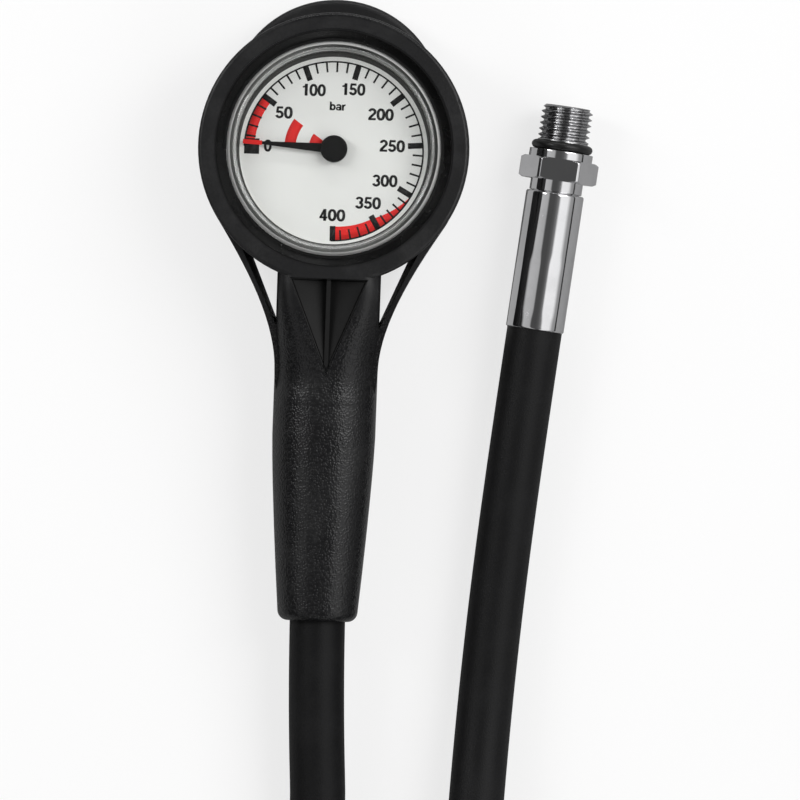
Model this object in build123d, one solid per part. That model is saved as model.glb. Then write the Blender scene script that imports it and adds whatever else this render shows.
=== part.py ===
# A submersible pressure gauge: a small round gauge in a rubber boot, swivelling on the end of a
# high-pressure hose, with the fitting that screws into the air supply at the hose's far end.
#
# Millimetres. The gauge lies on its back with the dial facing +Z. The origin is on the plane that it
# rests on, under the middle of the dial. The handle runs along -Y. Sizes along the handle are
# distances from the dial axis, and sizes along the tank end are distances from the hose's end face.
from build123d import *
from math import acos, asin, atan2, cos, degrees, hypot, pi, radians, sin, sqrt, tan
import os

# Clearances
CUT = 1.0  # how far a cut runs past the face that it opens
SEAT_GAP = 0.05  # between pieces that are pressed, screwed or clamped together
RUN_GAP = 0.3  # between pieces that move past each other
PIVOT_GAP = 0.05  # round a shaft in its bearing hole

# Case, turned from bar
CASE_R = 25.0
CASE_BACK = 3.0
CASE_WALL = 3.8
CASE_MOUTH_WALL = 1.9
CASE_ROOM = 12.5  # height of the room for the movement, under the dial
CASE_EDGE = 0.7

# Dial, its split ring and the lens
DIAL_GAP = 0.2
DIAL_T = 0.8
DIAL_HOLE_R = 1.6
DIAL_RING_T = 1.2
DIAL_RING_W = 2.1
DIAL_RING_SPLIT = 0.4
LENS_GAP = 0.1
LENS_SKIRT_T = 2.1
LENS_EDGE_H = 4.9
LENS_BEVEL = 1.3
LENS_DOME = 0.8
LENS_WINDOW_T = 3.0
LENS_SEAL_R = 0.6
LENS_SEAL_RISE = 2.0  # from the foot of the lens to the middle of its seal

# Pointer
POINTER_GAP = 1.45  # from its tip to the dial's split ring
POINTER_TIP_L = 4.1  # of its coloured tip
POINTER_TIP_W = 0.95
POINTER_W = 1.9
POINTER_NECK_W = 0.65
POINTER_T = 0.4
POINTER_RISE = 1.2  # from dial face to blade
POINTER_REST = 2.8  # degrees past nine o'clock
HUB_R = 2.9
HUB_H = 1.7
HUB_EDGE = 0.5
HUB_DROP = 0.4  # how far the hub reaches below the blade

# Boot, one rubber moulding
BOOT_BACK = 2.5
BOOT_WALL = 1.9
BOOT_EDGE = 2.0
BOOT_FLANGE = 2.25  # how far the front ring stands out from the wall
BOOT_RING_H = 7.0
BOOT_LIP_H = 2.9
BOOT_LIP_GAP = 0.15
BOOT_LIP_EDGE = 0.4
BOOT_SLOPE = 2.1
BOOT_BAND = 3.4  # width of the flat band on the front ring
BOOT_GROOVE_W = 0.5
BOOT_GROOVE_D = 0.5
BOOT_RING_EDGE = 0.8
HANDLE_W = 22.3
HANDLE_D = 21.0
HANDLE_CORNER = 9.6
HANDLE_ROOT = 20.0  # where the handle starts, inside the cup
HANDLE_END = 102.0
HANDLE_END_W = 17.0
HANDLE_END_D = 17.0
HANDLE_END_EDGE = 2.2
TAPER_START = 62.0
TAPER_EASE = 1.3
TAPER_STATIONS = (0.0, 0.12, 0.3, 0.55, 0.8, 1.0)  # shares of the taper with a section each
MOUTH_L = 8.0
NECK_CORNER = 3.6
NECK_L = 21.8  # from the ring's edge, over which the neck sinks and grows round
NECK_STATIONS = (0.0, 0.15, 0.3, 0.45, 0.6, 0.75, 0.9, 1.05, 1.2)  # the last ones on the handle
WEB_L = 18.8  # from the ring's edge to where the side webs run out on the handle
WEB_ANGLE = 33.0  # below three o'clock, where they leave the ring
WEB_RAMP_ANGLE = 13.0  # and where they start to rise from the cup's wall
WEB_RAMP_EASE = 5.0
WEB_LEAVE = 0.405  # share of its length over which the web's edge keeps the ring's direction
WEB_ARRIVE = 0.31  # and the handle's
WEB_RUN_OUT = 12.0  # over which the web's edge sinks into the handle
WEB_SINK = 2.2
WEB_T = 1.6
WEB_FRONT = [(15.2, -1.5), (-0.8, -2.5), (-12.8, -9.5), (-32.8, -15.0)]  # Y from the ring's edge, Z from its face
WEB_BACK = [(-32.8, 10.5), (-16.8, 6.5), (-6.8, 3.0), (15.2, 3.0)]  # Y from the ring's edge, Z
WINDOW_LEAD = 7.7  # of its top, before the ring's edge
WINDOW_INSET = 4.9  # of its upper corner, from the ring's edge
WINDOW_L = 10.0  # beyond the ring's edge
WINDOW_DRAFT = 2.8
WINDOW_LAP = 3.0  # how far it runs in over the handle
POCKET_W = 16.6
POCKET_LAP = 1.0  # over the ring
POCKET_L = 19.3  # beyond the ring's edge
POCKET_STEP = 0.5  # its edge, all round
POCKET_D = 3.4  # at its middle, under the ring
RIB_W = 0.9
RIB_SINK = 0.35
LUG_REACH = 3.4  # beyond the ring
LUG_OFFSET = 9.3
LUG_T = 8.0
LUG_EDGE = 1.2
LUG_SLOT_W = 2.0
LUG_RELIEF = 0.8  # how much wider the slot is at the front
LUG_RELIEF_H = 3.0
LUG_SLOT_LAP = 1.0  # how far the slot is cut into the wall that closes it again
LUG_SLOT_ANGLE = 23.0
VENT_R = 3.2
VENT_OFFSET = 10.0

# Socket block and stem, and what screws on it
STEM_R = 5.5
STEM_LIFT = 0.5  # of the stem over the floor of the case
BLOCK_W = 12.0
BLOCK_H = 11.0
BLOCK_L = 7.7
PAD_L = 4.1
PAD_H = 2.0
PRESSURE_BORE_R = 0.8
CROSS_BORE_R = 0.55  # from the stem's bore into the tube
TUBE_GRIP = 40.0  # degrees of the tube's pocket in the block
FLATS = 9.5
FLATS_START = 30.0
FLATS_END = 38.0
STEM_SEAL_R = 0.55
NUT_START = 45.0
NUT_FLATS = 13.0
NUT_EDGE = 0.8
THREAD_L = 9.9
COLLAR_R = 5.3
COLLAR_L = 2.5
NECK_R = 4.2
NUT_FLANGE = 2.2
SHOULDER_R = 6.0
SHOULDER_L = 2.0
SPOOL_R = 2.3
SPOOL_POCKET = 6.0
SPOOL_END_GAP = 0.2
SPOOL_BORE_R = 0.5
SPOOL_SEAL_R = 0.5
SPOOL_SEAL_INSET = 2.0

# Hose and crimped ferrules
HOSE_D = 12.0
HOSE_END_R = 5.1  # squeezed in a ferrule
HOSE_BORE_R = 2.5
FERRULE_R = 6.3
FERRULE_L = 30.0
FERRULE_LIP = 1.2
FERRULE_EDGE = 0.5
BARB_R = 2.4
BARB_ROOT_R = 1.9
BARB_L = 26.0
BARBS = 6
BARB_SLOPE = 0.9  # share of each barb that slopes
BARB_NECK_R = 3.0

# Tank-end fitting
TANK_X = 44.8
TANK_Y = -37.4
TANK_LEAN = 6.5  # degrees, from +Y towards +X
TANK_GAP = 0.4
TANK_GAP_R = 5.2
TANK_COLLAR_R = 5.7
TANK_COLLAR_L = 2.2
TANK_FLATS = 15.0
TANK_HEX_L = 4.8
TANK_HEX_EDGE = 0.9
TANK_SEAT_R = 6.9
TANK_SEAT_L = 1.7
TANK_SEAL_R = 1.0
TANK_SEAL_NECK_R = 4.45
TANK_THREAD_R = 5.55
TANK_THREAD_L = 7.8
TANK_THREAD_EDGE = 0.7

# Bourdon tube: a flattened tube bent to most of a circle
TUBE_ROOM = 3.6  # from the case's wall to the middle of the tube
TUBE_W = 2.0
TUBE_H = 6.0
TUBE_WALL = 0.5
TUBE_ROOT_ANGLE = 258.0
TUBE_TIP_ANGLE = 3.0
TIP_ANGLE = 6.0
TIP_WALL = 0.3
EAR_T = 1.0
EAR_LAP = 0.15  # how far the ear runs into the end piece

# Movement
GEAR_ROOM = 5.0  # from the middle of the tube to the circle of the sector's pivot
PINION_TEETH = 10
SECTOR_TEETH = 80  # on a whole wheel
SECTOR_TEETH_CUT = 11
SECTOR_LEAD = 1.5  # teeth that stand past the mesh when the pointer is at rest
TOOTH_ROOT = 1.15  # depth and height of a tooth, in modules
TOOTH_TIP = 0.8
FLANK_SHARES = (0.0, 0.35, 0.7, 1.0)
BACKLASH = 0.03
PRESSURE_ANGLE = 25.0
SECTOR_T = 1.0
PINION_T = 1.8
ARBOR_R = 0.6
SECTOR_ANGLE = -31.0  # from the dial centre to the sector's pivot
EAR_REACH = 2.6  # from the middle of the tube to the link
SECTOR_HUB_R = 2.0
SECTOR_HUB_H = 3.2
ARM_W = 2.2
LINK_T = 0.8
PLATE_T = 1.0
PLATE_LIFT = 2.0  # of the lower plate over the floor of the case
PLATE_GAP = 6.5  # between the plates
GEAR_LIFT = 2.5  # of the gears over the lower plate
PLATE_RIM = 2.2
PILLAR_R = 1.2
PILLAR_PLACES = [(215.0, 8.0), (48.8, 7.0), (-67.4, 5.9)]  # degrees, and in from the tube
MOVEMENT_SCREW_X = (-4.5, 0.4)
SCREW_R = 0.7
SCREW_HEAD_R = 1.3
SCREW_HEAD_H = 0.8
SCREW_L = 2.4
HAIRSPRING_T = 0.25
HAIRSPRING_H = 0.7
HAIRSPRING_PITCH = 0.65
HAIRSPRING_TURNS = 5

# Screws and plug in the case back
SOCKET_SCREW_X = 4.0
SOCKET_SCREW_IN = 4.2  # from the case's wall
SOCKET_SCREW_R = 1.0
SOCKET_SCREW_HEAD_R = 1.8
SOCKET_SCREW_HEAD_H = 1.2
SOCKET_SCREW_L = 4.8
PLUG_R = 3.0
PLUG_HEAD_R = 4.2
PLUG_HEAD_H = 1.0

# Hose route: points of the two free stretches, and the coil that they join
BEND_SHARE = 0.45  # of the shorter run, that each bend takes up
LEAD_ROUTE = [
    (0.0, -115.0, 11.5),
    (2.6, -157.6, 6.6),
    (-10.2, -188.3, 6.0),
    (-34.6, -210.9, 6.0),
]
TAIL_ROUTE = [
    (71.6, -211.6, 18.0),
    (47.4, -188.7, 18.4),
    (35.0, -157.7, 11.4),
    (36.6, -124.0, 6.4),
    (38.8, -94.0, 6.2),
    (41.9, -62.85, 7.5),
]
COIL_X = 18.3
COIL_Y = -243.7
COIL_R = 60.0
COIL_LAYERS = 2

# Heights and distances that follow from the sizes above
CASE_BORE_R = CASE_R - CASE_WALL
CASE_MOUTH_R = CASE_R - CASE_MOUTH_WALL
DIAL_R = CASE_MOUTH_R - DIAL_GAP
LENS_R = CASE_MOUTH_R - LENS_GAP
LENS_SKIRT_R = LENS_R - LENS_SKIRT_T
BOOT_LIP_R = LENS_R + BOOT_LIP_GAP
CASE_FLOOR = BOOT_BACK + CASE_BACK
DIAL_SEAT = CASE_FLOOR + CASE_ROOM
DIAL_FACE = DIAL_SEAT + DIAL_T
LENS_FOOT = DIAL_FACE + DIAL_RING_T
LENS_EDGE_Z = LENS_FOOT + LENS_EDGE_H
CASE_RIM = LENS_EDGE_Z - RUN_GAP
FRONT = CASE_RIM + BOOT_LIP_H
BOOT_BORE_R = CASE_R + SEAT_GAP
BOOT_R = BOOT_BORE_R + BOOT_WALL
RING_R = BOOT_R + BOOT_FLANGE
LUG_R = RING_R + LUG_REACH - LUG_OFFSET
WEB_FOOT = RING_R + WEB_L
WINDOW_TOP = RING_R - WINDOW_LEAD
WINDOW_FOOT = RING_R + WINDOW_L
POCKET_TOP = RING_R - POCKET_LAP
POCKET_TIP = RING_R + POCKET_L
STEM_Z = CASE_FLOOR + STEM_LIFT + STEM_R
NECK_RISE = FRONT - STEM_Z - HANDLE_D / 2  # flush with the ring's face
STEM_END = NUT_START + THREAD_L
COLLAR_START = STEM_END + RUN_GAP
COLLAR_END = COLLAR_START + COLLAR_L
NUT_END = COLLAR_END + RUN_GAP + NUT_FLANGE
SHOULDER_START = NUT_END + RUN_GAP
FERRULE_START = SHOULDER_START + SHOULDER_L
FERRULE_END = FERRULE_START + FERRULE_L
HOSE_R = HOSE_D / 2
TANK_Z = TANK_FLATS / 2
TANK_COLLAR = FERRULE_L + TANK_GAP
TANK_HEX = TANK_COLLAR + TANK_COLLAR_L
TANK_SEAT = TANK_HEX + TANK_HEX_L
TANK_NECK = TANK_SEAT + TANK_SEAT_L
TANK_THREAD = TANK_NECK + 2 * TANK_SEAL_R
TANK_END = TANK_THREAD + TANK_THREAD_L
PLATE_Z = CASE_FLOOR + PLATE_LIFT
TOP_PLATE_Z = PLATE_Z + PLATE_T + PLATE_GAP
GEAR_Z = PLATE_Z + PLATE_T + GEAR_LIFT
LINK_Z = GEAR_Z + SECTOR_T + RUN_GAP
EAR_Z = LINK_Z + LINK_T + RUN_GAP
BLOCK_FACE = CASE_BORE_R - BLOCK_L
PAD_FACE = BLOCK_FACE - PAD_L
SOCKET_SCREW_Y = -(CASE_BORE_R - SOCKET_SCREW_IN)
TUBE_R = CASE_BORE_R - TUBE_ROOM
GEAR_CENTRES = TUBE_R - GEAR_ROOM
TOOTH_MODULE = 2 * GEAR_CENTRES / (PINION_TEETH + SECTOR_TEETH)
PINION_R = TOOTH_MODULE * PINION_TEETH / 2
SECTOR_X = GEAR_CENTRES * cos(radians(SECTOR_ANGLE))
SECTOR_Y = GEAR_CENTRES * sin(radians(SECTOR_ANGLE))
LINK_X = TUBE_R - EAR_REACH
LINK_L = -SECTOR_Y
TAIL_R = LINK_X - SECTOR_X
POINTER_Z = DIAL_FACE + POINTER_RISE
POINTER_R = CASE_MOUTH_R - SEAT_GAP - DIAL_RING_W - POINTER_GAP
POINTER_TIP_R = POINTER_R - POINTER_TIP_L
PILLARS = [
    ((TUBE_R - inset) * cos(radians(angle)), (TUBE_R - inset) * sin(radians(angle)))
    for angle, inset in PILLAR_PLACES
]
MOVEMENT_SCREWS = [(x, -(BLOCK_FACE - PLATE_RIM - RUN_GAP)) for x in MOVEMENT_SCREW_X]

# Axes that turned pieces stand on
HANDLE = Plane(origin=(0, 0, STEM_Z), x_dir=(1, 0, 0), z_dir=(0, -1, 0))
LEAN = (sin(radians(TANK_LEAN)), cos(radians(TANK_LEAN)), 0)
TANK = Plane(origin=(TANK_X, TANK_Y, TANK_Z), x_dir=(LEAN[1], -LEAN[0], 0), z_dir=LEAN)
UPRIGHT = Plane.XY


def lathe(outline, place=UPRIGHT):
    """A turned piece: the outline of (radius, height) points, swept round the place's axis."""
    profile = make_face(Polyline(*[(r, 0, h) for r, h in outline], close=True))
    return place * revolve(profile, Axis.Z, 360)


def rod(r, low, high, place=UPRIGHT, x=0.0, y=0.0):
    """A round bar along the place's axis, between two heights."""
    bar = Cylinder(r, high - low, align=(Align.CENTER, Align.CENTER, Align.MIN))
    return place * (Pos(x, y, low) * bar)


def ring_seal(major, minor, height, place=UPRIGHT):
    """An O-ring, its middle at a height on the place's axis."""
    return place * (Pos(0, 0, height) * Torus(major, minor))


def slab(face, low, high):
    """A flat piece cut to a shape drawn in XY, between two heights."""
    return Pos(0, 0, low) * extrude(face, high - low)


def hex_bar(flats, edge, low, high, place, turn=0.0):
    """A hexagonal bar whose corners are turned down at both ends."""
    corner = flats / sqrt(3)
    bar = Rot(0, 0, turn) * extrude(RegularPolygon(corner, 6), high - low)
    drop = edge * tan(radians(30))
    turned = [
        (0, 0), (corner - edge, 0), (corner, drop),
        (corner, high - low - drop), (corner - edge, high - low), (0, high - low),
    ]
    return place * (Pos(0, 0, low) * (bar & lathe(turned)))


# Case, dial and lens


def case_shell():
    """The turned cup, with its holes for the stem, the socket screws and the blow-out plug."""
    cup = lathe([
        (0, BOOT_BACK), (CASE_R - CASE_EDGE, BOOT_BACK), (CASE_R, BOOT_BACK + CASE_EDGE),
        (CASE_R, CASE_RIM), (CASE_MOUTH_R, CASE_RIM), (CASE_MOUTH_R, DIAL_SEAT),
        (CASE_BORE_R, DIAL_SEAT), (CASE_BORE_R, CASE_FLOOR), (0, CASE_FLOOR),
    ])
    cup -= rod(STEM_R + SEAT_GAP, 0, CASE_R + CUT, HANDLE)
    for x in (-SOCKET_SCREW_X, SOCKET_SCREW_X):
        cup -= rod(SOCKET_SCREW_R + SEAT_GAP, BOOT_BACK, CASE_FLOOR, x=x, y=SOCKET_SCREW_Y)
        head_top = BOOT_BACK + SOCKET_SCREW_HEAD_H + SEAT_GAP
        cup -= rod(SOCKET_SCREW_HEAD_R + SEAT_GAP, BOOT_BACK, head_top, x=x, y=SOCKET_SCREW_Y)
    cup -= rod(PLUG_R + SEAT_GAP, BOOT_BACK, CASE_FLOOR, y=VENT_OFFSET)
    cup -= rod(PLUG_HEAD_R + SEAT_GAP, BOOT_BACK, BOOT_BACK + PLUG_HEAD_H, y=VENT_OFFSET)
    return cup


def lens():
    """The screwed-in clear cap: a deep rim with a seal groove, a bevel and a shallow dome."""
    bevel_r = LENS_R - LENS_BEVEL
    bevel_z = LENS_EDGE_Z + LENS_BEVEL
    groove_r = CASE_MOUTH_R - 2 * LENS_SEAL_R
    groove_low = LENS_FOOT + LENS_SEAL_RISE - LENS_SEAL_R - SEAT_GAP
    groove_high = LENS_FOOT + LENS_SEAL_RISE + LENS_SEAL_R + SEAT_GAP
    window_low = bevel_z + LENS_DOME - LENS_WINDOW_T
    side = Polyline(
        (0, 0, window_low), (LENS_SKIRT_R, 0, window_low), (LENS_SKIRT_R, 0, LENS_FOOT),
        (LENS_R, 0, LENS_FOOT), (LENS_R, 0, groove_low), (groove_r, 0, groove_low),
        (groove_r, 0, groove_high), (LENS_R, 0, groove_high), (LENS_R, 0, LENS_EDGE_Z),
        (bevel_r, 0, bevel_z),
    )
    dome_r = (bevel_r ** 2 + LENS_DOME ** 2) / (2 * LENS_DOME)
    top_z = bevel_z + LENS_DOME
    half_way = asin(bevel_r / dome_r) / 2
    dome = ThreePointArc(
        (bevel_r, 0, bevel_z),
        (dome_r * sin(half_way), 0, top_z - dome_r * (1 - cos(half_way))),
        (0, 0, top_z),
    )
    axis = Line((0, 0, top_z), (0, 0, window_low))
    return revolve(make_face([side, dome, axis]), Axis.Z, 360)


def lens_oring():
    return ring_seal(CASE_MOUTH_R - LENS_SEAL_R, LENS_SEAL_R, LENS_FOOT + LENS_SEAL_RISE)


def dial():
    return lathe([
        (DIAL_HOLE_R, DIAL_SEAT), (DIAL_R, DIAL_SEAT), (DIAL_R, DIAL_FACE), (DIAL_HOLE_R, DIAL_FACE),
    ])


def dial_ring():
    """The split ring that springs out in the case mouth and holds the dial on its seat."""
    ring_r = CASE_MOUTH_R - SEAT_GAP
    ring = rod(ring_r, DIAL_FACE, LENS_FOOT) - rod(ring_r - DIAL_RING_W, DIAL_FACE, LENS_FOOT)
    split = Pos(0, -ring_r, (DIAL_FACE + LENS_FOOT) / 2) * Box(DIAL_RING_SPLIT, ring_r, 2 * DIAL_RING_T)
    return ring - split


def pointer():
    """Blade and hub, stamped and turned as one: a tapered blade, then a parallel tip."""
    half = POINTER_W / 2
    neck = POINTER_NECK_W / 2
    tip = POINTER_TIP_W / 2
    outline = Polyline(
        (0, half), (HUB_R, half), (POINTER_TIP_R, neck), (POINTER_TIP_R, tip), (POINTER_R, tip),
        (POINTER_R, -tip), (POINTER_TIP_R, -tip), (POINTER_TIP_R, -neck), (HUB_R, -half), (0, -half),
        close=True,
    )
    blade = slab(make_face(outline), POINTER_Z, POINTER_Z + POINTER_T)
    low = POINTER_Z - HUB_DROP
    hub = rod(HUB_R, low, low + HUB_H)
    hub = fillet(hub.edges().group_by(Axis.Z)[-1], HUB_EDGE)
    whole = Rot(0, 0, 180 - POINTER_REST) * (blade + hub)
    return whole - rod(ARBOR_R + SEAT_GAP, low, low + HUB_H / 2)


# Boot


def handle_section(s):
    """The tapering handle's rounded section at a distance from the dial axis."""
    share = max(0.0, (s - TAPER_START) / (HANDLE_END - TAPER_START)) ** TAPER_EASE
    width = HANDLE_W + (HANDLE_END_W - HANDLE_W) * share
    depth = HANDLE_D + (HANDLE_END_D - HANDLE_D) * share
    corner = HANDLE_CORNER * width / HANDLE_W
    return HANDLE.offset(s) * RectangleRounded(width, depth, corner)


def neck_section(s):
    """The neck's section: high and square at the ring, and the handle's own round one at the end."""
    share = neck_share(s)
    rise = NECK_RISE * share
    corner = HANDLE_CORNER + (NECK_CORNER - HANDLE_CORNER) * share
    return HANDLE.offset(s) * Pos(0, rise / 2) * RectangleRounded(HANDLE_W, HANDLE_D + rise, corner)


def neck_share(s):
    """One up to the neck's start, none from its end on, and an S-shaped fall in between."""
    fall = min(1.0, max(0.0, (s - RING_R) / NECK_L))
    return 1 - fall * fall * (3 - 2 * fall)


def neck_front(s):
    """The height of the neck's front face."""
    return STEM_Z + HANDLE_D / 2 + NECK_RISE * neck_share(s)


def handle():
    root = extrude(neck_section(HANDLE_ROOT), RING_R - HANDLE_ROOT)
    neck = loft([neck_section(RING_R + NECK_L * share) for share in NECK_STATIONS])
    neck_foot = RING_R + NECK_L * NECK_STATIONS[-1]
    straight = extrude(handle_section(neck_foot), TAPER_START - neck_foot)
    taper = HANDLE_END - TAPER_START
    tapered = loft([handle_section(TAPER_START + taper * share) for share in TAPER_STATIONS])
    tapered = fillet(tapered.faces().sort_by(Axis.Y)[0].edges(), HANDLE_END_EDGE)
    return root + neck + straight + tapered


def web_edge():
    """The outer edge of the right-hand web: off the ring along its tangent, onto the handle."""
    angle = radians(WEB_ANGLE)
    start = (RING_R * cos(angle), -RING_R * sin(angle))
    reach = WEB_FOOT + start[1]
    leave = (
        start[0] - reach * WEB_LEAVE * sin(angle), start[1] - reach * WEB_LEAVE * cos(angle)
    )
    arrive = (HANDLE_W / 2, -WEB_FOOT + reach * WEB_ARRIVE)
    return Bezier(start, leave, arrive, (HANDLE_W / 2, -WEB_FOOT))


def window(height, shrink):
    """The right-hand window at one height: a triangle between strut, handle and ring."""
    edge = web_edge()
    top = edge @ 0.0
    inner_x = HANDLE_W / 2 - WINDOW_LAP
    foot_y = -WINDOW_FOOT + shrink
    high = (top.X - WINDOW_INSET - shrink, -WINDOW_TOP - shrink / 2)
    return Plane.XY.offset(height) * make_face(Polyline(
        high, (inner_x, -WINDOW_TOP - WEB_T), (inner_x, foot_y + WINDOW_LAP), (HANDLE_W / 2, foot_y),
        close=True,
    ))


def webs():
    """Both side webs, with the windows that are cut through them."""
    edge = web_edge()
    end = (HANDLE_W / 2 - WEB_SINK, -WEB_FOOT - WEB_RUN_OUT)
    run_out = Bezier(edge @ 1, (HANDLE_W / 2, -WEB_FOOT - WEB_RUN_OUT / 3), end)
    angle = radians(WEB_RAMP_ANGLE)
    start = (BOOT_R * cos(angle), -BOOT_R * sin(angle))
    ramp = Bezier(start, edge @ 0 - edge % 0 * WEB_RAMP_EASE, edge @ 0)
    half = make_face([ramp, edge, run_out, Polyline(end, (0, end[1]), (0, 0), start)])
    front = Bezier(*[(y - RING_R, FRONT + drop) for y, drop in WEB_FRONT])
    back = Bezier(*[(y - RING_R, z) for y, z in WEB_BACK])
    root = Polyline(back @ 1, (0, (back @ 1).Y), (0, (front @ 0).Y), front @ 0)
    side = Plane.YZ * make_face([front, Line(front @ 1, back @ 0), back, root])
    web = slab(half, 0, FRONT) & extrude(side, RING_R)
    web -= loft([window(-CUT, WINDOW_DRAFT), window(FRONT + CUT, 0)], ruled=True)
    return web + mirror(web, Plane.YZ)


def front_pocket():
    """The V-shaped recess in the neck: a step all round, and two facets that fall to the rib."""
    top_z = neck_front(POCKET_TOP)
    tip = (0, -POCKET_TIP, neck_front(POCKET_TIP) - POCKET_STEP)
    middle = (0, -POCKET_TOP, top_z - POCKET_D)
    corner = (POCKET_W / 2, -POCKET_TOP, top_z - POCKET_STEP)
    facet = make_face(Polyline(tip, middle, corner, close=True))
    lid = make_face(Polyline(*[(x, y, FRONT + CUT) for x, y, z in (tip, middle, corner)], close=True))
    half = loft([facet, lid], ruled=True)
    return half + mirror(half, Plane.YZ)


def pocket_rib():
    top_z = neck_front(POCKET_TOP)
    side = Plane.YZ * make_face(Polyline(
        (-POCKET_TOP + POCKET_STEP, top_z - RIB_SINK), (-POCKET_TIP, neck_front(POCKET_TIP) - RIB_SINK),
        (-POCKET_TIP, top_z - NECK_RISE - POCKET_D), (-POCKET_TOP + POCKET_STEP, top_z - POCKET_D - CUT),
        close=True,
    ))
    return extrude(side, RIB_W / 2, both=True)


def lug():
    """The crescent behind the ring, with its curved slot for a strap."""
    plate = rod(LUG_R, 0, LUG_T, y=LUG_OFFSET)
    plate = fillet(plate.edges().group_by(Axis.Z)[-1], LUG_EDGE)
    for width, low in ((LUG_SLOT_W, -CUT), (LUG_SLOT_W + LUG_RELIEF, LUG_T - LUG_RELIEF_H)):
        mid_r = BOOT_R + (width - LUG_SLOT_LAP) / 2
        mid = CenterArc((0, 0), mid_r, 90 - LUG_SLOT_ANGLE, 2 * LUG_SLOT_ANGLE)
        plate -= slab(SlotArc(mid, width + LUG_SLOT_LAP), low, LUG_T + CUT)
    return plate


def boot_bores():
    """The room inside the handle for the stem, the nut and the turning hose end."""
    nut_r = NUT_FLATS / sqrt(3) + SEAT_GAP
    room_r = FERRULE_R + RUN_GAP
    mouth_r = HOSE_R + RUN_GAP
    mouth = HANDLE_END - MOUTH_L
    return lathe([
        (0, 0), (STEM_R + SEAT_GAP, 0), (STEM_R + SEAT_GAP, NUT_START - RUN_GAP),
        (nut_r, NUT_START - RUN_GAP), (nut_r, NUT_END + RUN_GAP), (room_r, NUT_END + RUN_GAP),
        (room_r, mouth), (mouth_r, mouth), (mouth_r, HANDLE_END + CUT), (0, HANDLE_END + CUT),
    ], HANDLE)


def boot():
    cup = lathe([
        (0, 0), (BOOT_R, 0), (BOOT_R, FRONT - BOOT_RING_H - BOOT_FLANGE),
        (RING_R, FRONT - BOOT_RING_H), (RING_R, FRONT), (0, FRONT),
    ])
    cup = fillet(cup.edges().group_by(Axis.Z)[0], BOOT_EDGE)
    cup = fillet(cup.edges().group_by(Axis.Z)[-1], BOOT_RING_EDGE)
    body = handle() + webs() + lug() + cup - front_pocket() + pocket_rib()
    groove_r = RING_R - BOOT_BAND
    inner_r = groove_r - BOOT_GROOVE_W
    body -= lathe([
        (0, BOOT_BACK), (BOOT_BORE_R, BOOT_BACK), (BOOT_BORE_R, CASE_RIM), (BOOT_LIP_R, CASE_RIM),
        (BOOT_LIP_R, CASE_RIM + BOOT_LIP_EDGE), (inner_r, CASE_RIM + BOOT_LIP_EDGE + BOOT_SLOPE),
        (inner_r, FRONT - BOOT_GROOVE_D), (groove_r, FRONT - BOOT_GROOVE_D), (groove_r, FRONT + CUT),
        (0, FRONT + CUT),
    ])
    body -= rod(VENT_R, -CUT, BOOT_BACK, y=VENT_OFFSET)
    return body - boot_bores()


# Socket block, swivel and hose end


def tube_section(clearance=0.0):
    """The flattened section of the Bourdon tube, in the XZ plane at the tube's radius."""
    width = TUBE_W + 2 * clearance
    height = TUBE_H + 2 * clearance
    return Plane(origin=(TUBE_R, 0, STEM_Z), x_dir=(1, 0, 0), z_dir=(0, -1, 0)) * SlotOverall(
        height, width, rotation=90
    )


def round_arc(face, start, end):
    """Carries a section in the XZ plane round the dial axis, between two angles."""
    return Rot(0, 0, start) * revolve(face, Axis.Z, end - start)


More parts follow.
